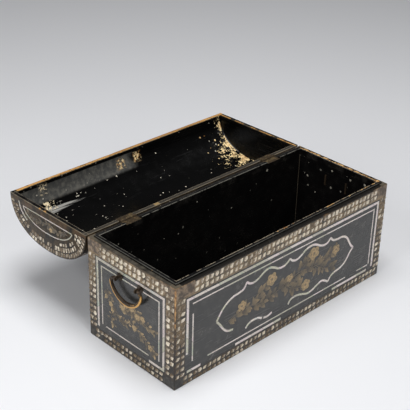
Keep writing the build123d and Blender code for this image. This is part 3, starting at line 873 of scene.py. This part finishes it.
# Points a pitch apart along a line, each with the line's direction there.
def evenly(line, pitch):
    spots = []
    wanted = pitch / 2
    walked = 0.0
    for first, second in zip(line, line[1:]):
        run = (second - first).length
        while run > 0 and walked + run >= wanted:
            share = (wanted - walked) / run
            spots.append((first.lerp(second, share), (second - first).normalized()))
            wanted += pitch
        walked += run
    return spots


domeLine = archLine(0.0)
domeLengths = [0.0]
for first, second in zip(domeLine, domeLine[1:]):
    domeLengths.append(domeLengths[-1] + (second - first).length)
halfDome = domeLengths[-1] / 2


# A flat point bent onto the barrel: y is the way over it, from its crown.
def domePoint(spot):
    way = min(max(spot.y + halfDome, 0.0), 2 * halfDome - 1e-6)
    k = next(k for k in range(len(domeLengths) - 1) if domeLengths[k + 1] > way)
    share = (way - domeLengths[k]) / (domeLengths[k + 1] - domeLengths[k])
    low, normalLow = archPoint(k)
    high, normalHigh = archPoint(k + 1)
    place = low.lerp(high, share) + normalLow.lerp(normalHigh, share) * spot.z
    return Vector((spot.x, place[0], place[1]))


def layOn(surface, piece):
    if surface == "dome":
        for vertex in piece.data.vertices:
            vertex.co = domePoint(vertex.co)
    else:
        piece.data.transform(surfaces[surface])
    if surface in ("dome", "lidLeft", "lidRight"):
        piece.data.transform(turnOpen)


# Pearl tiles, modelled once in three leaning shapes and copied
tile = {
    "width": 0.0066,
    "height": 0.0060,
    "proud": 0.00014,
    "sunk": 0.00010,
    "shapes": ((4, 0.32), (4, 0.18), (5, 0.05)),   # number of corners, and lean
    "corner": 0.09,
    "usual": 0.6,            # share of the tiles that have the first shape
    "sizes": (0.86, 1.10),
    "askew": 0.16,
    "tones": ((0.22, 0.75, 1.00), (0.60, 0.35, 0.65), (1.00, 0.05, 0.30)),  # up to which share, from, to
    "drift": 0.16,           # tones drift in waves, across and up a face
    "waves": (46.0, 20.0),
    "waveFrom": 0.02,
    "endRoom": 0.003,        # at each end of a row
}
tileShapes = []
for corners, lean in tile["shapes"]:
    turn = (0, 0, pi / corners)
    bpy.ops.mesh.primitive_cylinder_add(vertices=corners, radius=0.66, depth=1.0, rotation=turn)
    shape = bpy.context.object
    applyPlace(shape)
    bpy.ops.object.mode_set(mode="EDIT")
    bpy.ops.mesh.select_mode(type="EDGE")
    bpy.ops.mesh.select_all(action="DESELECT")
    bpy.ops.object.mode_set(mode="OBJECT")
    for edge in shape.data.edges:
        low, high = (shape.data.vertices[v].co.z for v in edge.vertices)
        edge.select = low * high < 0 or low > 0
    bpy.ops.object.mode_set(mode="EDIT")
    bpy.ops.mesh.bevel(offset=tile["corner"], segments=1)
    bpy.ops.object.mode_set(mode="OBJECT")
    for vertex in shape.data.vertices:
        vertex.co.x += lean * vertex.co.y
    # Painted highlight: the tone rises across each tile, so one side of it is painted bright and the other
    # dull
    sheenSlope = [0.85 * vertex.co.x - 0.25 * vertex.co.y for vertex in shape.data.vertices]
    shape.data.attributes.new("tone", "FLOAT", "POINT").data.foreach_set("value", sheenSlope)
    tileShapes.append(shape)


# A copy of a shape with its own mesh, at a place on a flat surface. Its tone is added to the shape's.
def copyShape(shape, spot, angle, size, tone):
    mesh = shape.data.copy()
    width, tall, proud, sunk = size
    turned = Matrix.Translation((spot[0], spot[1], (proud - sunk) / 2)) @ Matrix.Rotation(angle, 4, "Z")
    mesh.transform(turned @ Matrix.Diagonal((width, tall, proud + sunk, 1.0)))
    tones = mesh.attributes["tone"].data
    tones.foreach_set("value", [own.value + tone for own in tones])
    copy = bpy.data.objects.new("copy", mesh)
    bpy.context.collection.objects.link(copy)
    return copy


def joined(copies):
    pick(*copies)
    bpy.ops.object.join()
    return bpy.context.object


def tileTone():
    throw = dice.random()
    return dice.uniform(*next(tones for share, *tones in tile["tones"] if throw < share))


def layTiles(name, surface, body, spots, lost, wide=1.0):
    copies = []
    across, up = tile["waves"]
    for spot, angle, lift, share in spots:
        gone = dice.random() < lost
        shape = tileShapes[0 if dice.random() < tile["usual"] else dice.randrange(1, 3)]
        width = tile["width"] * wide * dice.uniform(*tile["sizes"])
        tall = tile["height"] * share * dice.uniform(*tile["sizes"])
        tilt = angle + dice.uniform(-tile["askew"], tile["askew"])
        drift = tile["drift"] * cos(across * (spot[0] - tile["waveFrom"]) + up * spot[1])
        tone = min(max(tileTone() + lift + drift, 0.0), 1.0)
        if not gone:
            copies.append(copyShape(shape, spot, tilt, (width, tall, tile["proud"], tile["sunk"]), tone))
    piece = joined(copies)
    layOn(surface, piece)
    settle(piece, name, body, tileFinish)


def insideAny(spot, blanks):
    return any(low[0] <= spot[0] <= high[0] and low[1] <= spot[1] <= high[1] for low, high in blanks)


# Places of the tiles round a rectangular face, in rows along its top and bottom and up its sides.
def frameSpots(border):
    halfWidth, halfHeight = border["half"]
    pitch = border["pitch"]
    spots = []
    for side, sign in (("top", 1), ("bottom", -1)):
        for row, lift, tall in border[side]:
            count = int(2 * (halfWidth - tile["endRoom"]) / pitch)
            for k in range(count):
                spot = ((k - (count - 1) / 2) * pitch, sign * (halfHeight - row))
                spots.append((spot, 0.0, lift, tall))
    lowEnd = -halfHeight + border["bottom"][-1][0] + pitch * 0.9
    highEnd = halfHeight - border["top"][-1][0] - pitch * 0.9
    count = int((highEnd - lowEnd) / pitch) + 1
    for side, sign in (("left", -1), ("right", 1)):
        for column, lift, tall in border[side]:
            for k in range(count):
                y = lowEnd + (highEnd - lowEnd) * k / (count - 1)
                spots.append(((sign * (halfWidth - column), y), 0.0, lift, tall))
    return [entry for entry in spots if not insideAny(entry[0], border["blanks"])]


# Tile finish reads each tile's own tone, which carries a painted highlight across the tile, and adds painted
# glints
tileFinish, shader, place = newMaterial("pearl_tiles", coat=0.15)
tone = ownTone(place)
glint = (cloud(place, 210.0, 3.0, 0.6) - 0.52) * 2.2
pearl = useGroup(pearlSheen, Place=place, Bright=step(tone + glint, 0.02, 1.26), Shift=tone)
dress(shader, pearl["Colour"], pearl["Roughness"], pearl["Height"], 0.0001, 0.3)

# Rows run from the edge inwards, each as its distance from the edge, how much its tiles are lifted in
# tone, and how tall they are against the usual tile. Blanks are places without tiles, such as under
# the corner mounts that are gone.
borders = {
    "front": {
        "half": (halfLength, height / 2), "pitch": 0.0089,
        "top": ((0.0061, 0.44, 1.20), (0.0152, 0.46, 1.05)),
        "bottom": ((0.0034, -0.20, 0.84), (0.0111, 0.24, 0.90)),
        "left": ((0.0050, -0.22, 1.0), (0.0135, 0.10, 1.0)),
        "right": ((0.0042, -0.06, 1.0), (0.0114, 0.12, 0.94)),
        "blanks": [((-0.216, 0.057), (-0.180, 0.08)), ((0.190, 0.057), (0.216, 0.08)),
                   ((-0.216, -0.08), (-0.196, -0.065)), ((0.205, -0.08), (0.216, -0.068))],
    },
    "left": {
        "half": (halfDepth, height / 2), "pitch": 0.0088,
        "top": ((0.0072, 0.22, 1.18), (0.0160, 0.24, 1.12)),
        "bottom": ((0.0052, -0.24, 0.94), (0.0139, -0.02, 0.94)),
        "left": ((0.0042, -0.18, 1.0), (0.0121, 0.08, 1.0)),
        "right": ((0.0055, 0.00, 1.04), (0.0136, 0.24, 1.04)),
        "blanks": [((-0.088, 0.058), (-0.062, 0.08)), ((0.074, 0.064), (0.09, 0.08)),
                   ((-0.088, -0.08), (-0.074, -0.062)), ((0.068, -0.08), (0.09, -0.064))],
    },
    "back": {
        "half": (halfLength, height / 2), "pitch": 0.0089,
        "top": ((0.0066, 0.10, 1.1), (0.0152, 0.10, 1.05)),
        "bottom": ((0.0034, -0.12, 0.84), (0.0111, -0.08, 0.90)),
        "left": ((0.0042, 0.00, 1.0), (0.0114, 0.00, 0.94)),
        "right": ((0.0050, -0.06, 1.0), (0.0135, -0.06, 1.0)),
        "blanks": [((-0.216, 0.062), (-0.196, 0.08)), ((0.190, 0.058), (0.216, 0.08)),
                   ((0.200, -0.08), (0.216, -0.066))],
    },
    "right": {
        "half": (halfDepth, height / 2), "pitch": 0.0088,
        "top": ((0.0072, 0.10, 1.1), (0.0160, 0.10, 1.05)),
        "bottom": ((0.0052, -0.16, 0.94), (0.0139, -0.12, 0.94)),
        "left": ((0.0055, 0.00, 1.0), (0.0136, 0.00, 1.0)),
        "right": ((0.0042, -0.06, 1.0), (0.0121, -0.06, 1.0)),
        "blanks": [((-0.088, 0.060), (-0.066, 0.08)), ((0.070, 0.062), (0.09, 0.08))],
    },
}
for surface, border in borders.items():
    layTiles(f"{surface}_border_tiles", surface, "box", frameSpots(border), 0.015)

# Tiles of the lid: two rows along the arch on its ends, part of a third on the left end, and a border
# round the barrel
lidEnds = (("left", "lidLeft", -1), ("right", "lidRight", 1))
lidTiles = {
    "pitch": 0.0061,
    "wide": 0.74,
    "rows": (0.0050, 0.0130),
    "tall": 1.12,
    "bright": 0.06,          # lift in tone of the tiles nearest to the hinges,
    "brightFrom": 0.040,     # and how far back they start
    "dull": -0.42,           # of most of the others,
    "dullShare": 0.78,
    "odd": 0.14,             # and of the rest
    "thirdRow": 0.0206,
    "thirdFrom": 0.024,
    "thirdLook": (0.34, 0.80),
    "lowest": 0.006,
    "lost": {"left": 0.12, "right": 0.05},
}
for end, surface, side in lidEnds:
    spots = []
    for row in lidTiles["rows"]:
        for spot, way in evenly(archLine(row, lidTiles["lowest"]), lidTiles["pitch"]):
            if spot[0] > lidTiles["brightFrom"]:
                kind = "bright"
            else:
                kind = "dull" if dice.random() < lidTiles["dullShare"] else "odd"
            angle = atan2(way[1], side * way[0])
            spots.append(((side * spot[0], spot[1]), angle, lidTiles[kind], lidTiles["tall"]))
    if end == "left":
        for spot, way in evenly(archLine(lidTiles["thirdRow"], lidTiles["lowest"]), lidTiles["pitch"]):
            if spot[0] > lidTiles["thirdFrom"]:
                angle = atan2(way[1], side * way[0])
                spots.append(((side * spot[0], spot[1]), angle, *lidTiles["thirdLook"]))
    layTiles(f"lid_{end}_end_tiles", surface, "lid", spots, lidTiles["lost"][end], lidTiles["wide"])
domeBorder = {
    "half": (halfLength, halfDome), "pitch": 0.0089,
    "top": ((0.0066, 0.0, 1.1), (0.0155, 0.0, 1.1)),
    "bottom": ((0.0066, 0.0, 1.1), (0.0155, 0.0, 1.1)),
    "left": ((0.0052, 0.0, 1.0), (0.0138, 0.0, 1.0)),
    "right": ((0.0052, 0.0, 1.0), (0.0138, 0.0, 1.0)),
    "blanks": [],
}
layTiles("lid_barrel_tiles", "dome", "lid", frameSpots(domeBorder), 0.05)
for shape in tileShapes:
    bpy.data.objects.remove(shape)
print("pearl tiles laid")


# A flat, slightly domed line laid on a surface along the given points.
def ribbon(surface, points, width, proud, rings=6, corners=False):
    bpy.ops.curve.primitive_bezier_curve_add()
    curve = bpy.context.object
    spline = curve.data.splines[0]
    spline.bezier_points.add(len(points) - 2)
    for point, spot in zip(spline.bezier_points, points):
        point.co = (spot[0], spot[1], 0.0)
        point.handle_left_type = point.handle_right_type = "VECTOR" if corners else "AUTO"
    curve.data.dimensions = "3D"
    curve.data.resolution_u = rings
    curve.data.bevel_depth = width / 2
    curve.data.bevel_resolution = 1
    curve.data.use_fill_caps = True
    pick(curve)
    bpy.ops.object.convert(target="MESH")
    piece = bpy.context.object
    piece.scale = (1.0, 1.0, 2 * proud / width)
    applyPlace(piece)
    layOn(surface, piece)
    return piece


# Pearl line of butted pieces, each with its own shade. The pieces are counted along x + y + z.
def lineFinish(name, length, joint, bright=1.0):
    material, shader, place = newMaterial(name, coat=0.3)
    x, y, z = axes(place)
    count = (x + y + z) / length
    draw = newNode("ShaderNodeTexWhiteNoise", count)
    draw.noise_dimensions = "1D"
    feed(calc("FLOOR", count), draw.inputs["W"])
    shade = Field(draw.outputs["Value"])
    pearl = useGroup(pearlSheen, Place=place, Bright=between(shade, 0.56, 1.0) * bright, Shift=shade)
    gap = step(calc("FRACT", count), joint / length, 0.3 * joint / length)
    grime = step(cloud(place, 240.0, 4.0, 0.65), 0.60, 0.70)
    hue = tint(step(shade, 0.40, 0.46), colour(190, 202, 188), colour(236, 224, 228))
    onEnd = step(abs(x), halfLength - 0.0010, halfLength - 0.0004)
    base = coats(
        tint(between(shade, 0.35, 0.65), pearl["Colour"], hue),
        (onEnd * 0.35, colour(150, 140, 124)),
        (most(gap, grime * 0.6), colour(66, 54, 42)),
    )
    dress(shader, base, pearl["Roughness"], pearl["Height"] - gap, 0.0001, 0.3)
    return material


thickLine = lineFinish("pearl_thick_line", 0.023, 0.0007)
thinLine = lineFinish("pearl_thin_line", 0.031, 0.0005)
shortLine = lineFinish("pearl_short_pieces", 0.0052, 0.0007, 0.82)
finishNodes(thickLine, *[f"{face}_pearl_strips" for face in ("front", "back", "left_end", "right_end")])

# Lobed pearl line round the front panel's painting, in the stretches that are left. Millimetres
# from the middle of the face.
cartouche = {
    "width": 0.0035,
    "proud": 0.00018,
    "up": 0.00175,
    "strokes": [
        [(-139.9, -5.9), (-134, 3), (-127.5, 10.5), (-119, 16.5), (-109, 20.5), (-98, 21.8), (-90, 24),
         (-84.5, 32.5)],
        [(-84.5, 32.5), (-79, 28), (-70, 26.2), (-61, 28.5), (-52, 33.5), (-41.5, 36.2), (-31, 33), (-22, 28),
         (-13, 26.6), (-5, 28.5), (1.5, 33.5)],
        [(1.5, 33.5), (8, 28), (17, 26.4), (26, 29.5), (36, 35), (47.5, 36.8), (58, 34), (68, 28.4),
         (78, 26.4), (84, 28), (89, 33)],
        [(89, 33), (95, 27), (104, 24.6), (118, 23.6), (127, 18.5), (133, 10), (138, 2), (144.5, -5.2)],
        [(144.5, -5.2), (139, -10), (134, -17), (128, -24), (118, -29.5), (106, -31.5), (98, -34.5),
         (91, -42.6)],
        [(91, -42.6), (85, -38.4), (76.5, -35.0), (67, -37.5), (57, -41.6), (46, -43), (36, -40), (25, -36.6),
         (14, -36.2), (7.5, -38.5), (4, -43.6)],
        [(-30, -41.2), (-38.5, -43.6), (-47, -42.6)],
        [(-50.5, -41.6), (-57, -38.2), (-67, -36.6), (-77, -38.6), (-83, -43.6)],
        [(-108.0, -33.2), (-118, -31), (-126, -24.5), (-133, -14.5), (-139.9, -5.9)],
    ],
}
strokes = []
for stroke in cartouche["strokes"]:
    points = [(x / 1000, y / 1000 + cartouche["up"]) for x, y in stroke]
    strokes.append(ribbon("front", points, cartouche["width"], cartouche["proud"]))
cartoucheLine = lineFinish("pearl_cartouche", 0.013, 0.0004, 1.15)
settle(joined(strokes), "front_cartouche", "box", cartoucheLine)

# Lines on the lid's ends: a chord and an arc round the painted middle, and a heavier arc outside them,
# of which a stretch is left, as lengths along it
lidLines = {
    "chord": 0.0113,
    "thin": 0.0018,
    "thinInset": 0.0290,
    "thick": 0.0036,
    "thickInset": 0.0208,
    "pitch": 0.004,
    "proud": 0.00016,
    "left": {"left": (0.000, 0.034), "right": (0.000, 0.172)},
}
for end, surface, side in lidEnds:
    inner = archLine(lidLines["thinInset"], lidLines["chord"])
    arc = [(side * spot[0], spot[1]) for spot in [inner[0]] + inner[4:-4:7] + [inner[-1]]]
    chord = [(side * inner[0][0], lidLines["chord"]), (side * inner[-1][0], lidLines["chord"])]
    lines = [
        ribbon(surface, arc, lidLines["thin"], lidLines["proud"]),
        ribbon(surface, chord, lidLines["thin"], lidLines["proud"], corners=True),
    ]
    settle(joined(lines), f"lid_{end}_end_line", "lid", thinLine)
    pitch = lidLines["pitch"]
    start, stop = lidLines["left"][end]
    way = evenly(archLine(lidLines["thickInset"], pitch), pitch)
    stretch = [(side * spot[0], spot[1]) for k, (spot, along) in enumerate(way) if start <= pitch * k <= stop]
    heavy = ribbon(surface, stretch, lidLines["thick"], lidLines["proud"], 3)
    settle(heavy, f"lid_{end}_end_arc", "lid", shortLine)

# Double frame of lines on the barrel
domeLines = {"thick": (0.0036, 0.0225), "thin": (0.0020, 0.0310), "proud": 0.00016}
for kind, material in (("thick", thickLine), ("thin", thinLine)):
    width, inset = domeLines[kind]
    endX = halfLength - inset
    endY = halfDome - inset
    lines = []
    for sign in (-1, 1):
        straight = [(share * endX, sign * endY) for share in (-1, 0, 1)]
        over = [(sign * endX, endY * (k / 12 - 1)) for k in range(25)]
        lines += [ribbon("dome", line, width, domeLines["proud"], 2, True) for line in (straight, over)]
    settle(joined(lines), f"lid_barrel_{kind}_line", "lid", material)
print("pearl lines laid")


# Painted sprays. A flower head, a leaf and a dab are modelled once and copied; stems are thin lines.
def paintShape(corners, outline, shade):
    bpy.ops.mesh.primitive_cylinder_add(vertices=corners, radius=0.5, depth=1.0, end_fill_type="TRIFAN")
    shape = bpy.context.object
    tones = []
    for vertex in shape.data.vertices:
        turn = atan2(vertex.co.y, vertex.co.x)
        tones.append(shade(vertex.co))
        if vertex.co.xy.length > 0.1:
            vertex.co.x, vertex.co.y = outline(turn)
    shape.data.attributes.new("tone", "FLOAT", "POINT").data.foreach_set("value", tones)
    return shape


def petalOutline(turn):
    reach = 0.36 + 0.14 * abs(cos(2.5 * turn))
    return reach * cos(turn), reach * sin(turn)


def leafOutline(turn):
    return 0.5 * cos(turn), 0.5 * sin(turn) * (1 - 0.45 * cos(turn)) * abs(sin(turn)) ** 0.4


def dabOutline(turn):
    return 0.5 * cos(turn), 0.5 * sin(turn)


paint = {
    "proud": 0.00005,
    "sunk": 0.00008,
    "stem": 0.0009,
    "stemTone": 0.42,
    "bare": 0.2,             # share of the leaves that are left out
    "plump": (0.42, 0.62),
    "lean": (0.4, 1.3),
    "petals": ((1.15, 0.78, 0.00007), (0.66, 0.98, 0.00010)),   # width, tone and lift of a head's rings
    "heart": (0.22, 0.25, 0.00013),
}
petalShape = paintShape(20, petalOutline, lambda place: 0.08 if place.xy.length > 0.1 else -0.40)
leafShape = paintShape(10, leafOutline, lambda place: 0.60 * place.x)
dabShape = paintShape(7, dabOutline, lambda place: 0.15 * place.y)

paintFinish, shader, place = newMaterial("gold_painting", roughness=0.5)
tone = ownTone(place)
base = coats(
    tint(step(tone, 0.0, 0.5), colour(80, 73, 63), colour(128, 112, 86)),
    (step(tone, 0.45, 1.0), colour(192, 164, 120)),
    (step(cloud(place, 300.0, 5.0, 0.66), 0.52, 0.66) * 0.75, colour(48, 44, 40)),
)
feed(base, shader.inputs["Base Color"])


# Sizes in millimetres. Heads are (x, y, width); leaves stand along the stems a pitch apart.
def spray(name, surface, body, stems, heads, pitch, leaf, tones, spread=2.5):
    copies = []
    for stem in stems:
        line = [Vector((x / 1000, y / 1000)) for x, y in stem]
        for spot, way in evenly(line, pitch / 1000):
            for side in (-1, 1):
                if dice.random() < paint["bare"]:
                    continue
                long = dice.uniform(*leaf) / 1000
                angle = atan2(way.y, way.x) + side * dice.uniform(*paint["lean"])
                away = long * 0.5 + dice.uniform(0.0, spread) / 1000
                middle = spot + Vector((cos(angle), sin(angle))) * away
                lift = paint["proud"] + dice.uniform(0.0, 0.00006)
                size = (long, long * dice.uniform(*paint["plump"]), lift, paint["sunk"])
                copies.append(copyShape(leafShape, middle, angle, size, dice.uniform(*tones)))
    for x, y, width in heads:
        middle = Vector((x / 1000, y / 1000))
        for share, tone, lift in paint["petals"]:
            size = (width * share / 1000, width * share / 1000, paint["proud"] + lift, paint["sunk"])
            copies.append(copyShape(petalShape, middle, dice.uniform(0, 6), size, tone))
        share, tone, lift = paint["heart"]
        size = (width * share / 1000, width * share / 1000, paint["proud"] + lift, paint["sunk"])
        copies.append(copyShape(dabShape, middle, 0.0, size, tone))
    piece = joined(copies)
    layOn(surface, piece)
    lines = [piece]
    for stem in stems:
        line = ribbon(surface, [(x / 1000, y / 1000) for x, y in stem], paint["stem"], paint["proud"], 5)
        lineTones = line.data.attributes.new("tone", "FLOAT", "POINT").data
        lineTones.foreach_set("value", [paint["stemTone"]] * len(lineTones))
        lines.append(line)
    settle(joined(lines), name, body, paintFinish)


spray("front_painting", "front", "box", [
    [(-118, -14), (-88, -6), (-52, -12), (-14, -6), (26, 4), (66, 0), (104, 10)],
    [(-70, -9), (-56, 6), (-34, 16)],
    [(-6, -4), (12, -18), (38, -25)],
    [(58, 1), (78, -12), (100, -17)],
    [(20, 3), (34, 16), (52, 22)],
], [
    (-34, 17, 19), (-92, -1, 15), (40, -24, 17), (54, 23, 20), (104, 9, 15), (4, 3, 12),
], 6.0, (9, 16), (0.15, 0.55))
spray("left_end_painting", "left", "box", [
    [(-47, 16), (-43, 2), (-36, -10), (-25, -20), (-12, -22)],
    [(-24, 0), (-8, 5), (12, 4), (30, -4), (48, -8)],
    [(-12, -22), (4, -17), (18, -24), (34, -32), (50, -43)],
    [(-30, -16), (-40, -28), (-34, -38)],
    [(-20, -5), (-6, 0), (6, 8), (20, 7)],
    [(-16, 9), (-4, 7), (10, -3), (24, 0)],
], [
    (-40, -6, 8), (14, 0, 9), (8, -20, 9), (40, -36, 8), (-8, 8, 9), (2, 7, 8), (-16, 0, 8), (25, 2, 8),
], 2.4, (4.5, 9.0), (0.00, 0.85), 3.2)
spray("right_end_painting", "right", "box", [
    [(-54, -42), (-34, -32), (-10, -34), (14, -26), (36, -12), (52, 4)],
    [(-4, -33), (-12, -18), (-30, -6), (-48, -4)],
    [(22, -22), (36, -36), (52, -44)],
], [(-28, -8, 9), (34, -16, 9), (46, -40, 8)], 2.8, (5.0, 9.5), (0.05, 0.95), 3.0)
spray("back_painting", "back", "box", [
    [(-130, 16), (-96, 4), (-60, 8), (-22, -4), (18, -2), (60, 10), (100, 4), (132, -12)],
    [(-82, 5), (-70, -14), (-46, -26)],
    [(0, -3), (14, 14), (38, 24)],
    [(78, 9), (94, 22), (116, 24)],
], [
    (-44, -26, 17), (40, 24, 18), (-108, 10, 14), (118, 25, 14), (20, -3, 13), (104, 0, 12),
], 8.0, (9, 15), (0.10, 0.62))
spray("lid_barrel_painting", "dome", "lid", [
    [(-142, -22), (-104, -8), (-62, -14), (-20, 0), (26, -2), (70, 14), (112, 8), (146, 24)],
    [(-86, -10), (-74, 16), (-46, 34)],
    [(6, 0), (24, -24), (54, -36)],
    [(92, 12), (104, -10), (130, -22)],
], [
    (-46, 35, 24), (56, -36, 24), (-110, -10, 18), (74, 14, 20), (132, -22, 18), (-18, 0, 16),
], 9.0, (10, 18), (0.15, 0.7), 4.0)
for end, surface, side in lidEnds:
    stem = [(side * x, y) for x, y in ((46, 17), (22, 23), (-4, 19), (-30, 24), (-46, 18))]
    head = (side * 8, 25, 7)
    spray(f"lid_{end}_end_painting", surface, "lid", [stem], [head], 4.2, (5, 8), (0.02, 0.42), 1.2)
for shape in (petalShape, leafShape, dabShape):
    bpy.data.objects.remove(shape)
print("painting laid")

stage = {
    "radius": 1.7,
    "middle": (0.1, 0.1, 0),
    "floor": colour(238, 239, 242),
    "sky": (0.5, 0.5, 0.52, 1.0),
    "skyStrength": 0.12,
    "aim": (0, 0.05, 0.08),
}
bpy.ops.mesh.primitive_circle_add(vertices=96, radius=stage["radius"], fill_type="NGON",
                                  location=stage["middle"])
floor = bpy.context.object
floor.name = "floor"
floorFinish, floorShader, place = newMaterial("studio_floor", roughness=0.55, specular=0.3)
floorShader.inputs["Base Color"].default_value = stage["floor"]
floor.data.materials.append(floorFinish)

world = bpy.data.worlds.new("studio")
bpy.context.scene.world = world
world.use_nodes = True
world.node_tree.nodes["Background"].inputs["Color"].default_value = stage["sky"]
world.node_tree.nodes["Background"].inputs["Strength"].default_value = stage["skyStrength"]

lamps = {
    "softLeft": {"place": (-1.7, 0.1, 1.2), "size": (1.0, 1.0), "power": 15.5},
    "softFront": {"place": (-0.3, -2.0, 1.5), "size": (1.2, 1.0), "power": 13.5},
    "softTop": {"place": (-0.05, -0.15, 2.3), "size": (1.3, 1.3), "power": 37.8},
}
for name, lamp in lamps.items():
    bpy.ops.object.light_add(type="AREA", location=lamp["place"])
    light = bpy.context.object
    light.name = name
    light.data.shape = "RECTANGLE"
    light.data.size, light.data.size_y = lamp["size"]
    light.data.energy = lamp["power"]
    light.rotation_euler = (Vector(stage["aim"]) - light.location).to_track_quat("-Z", "Y").to_euler()
print("studio set up")
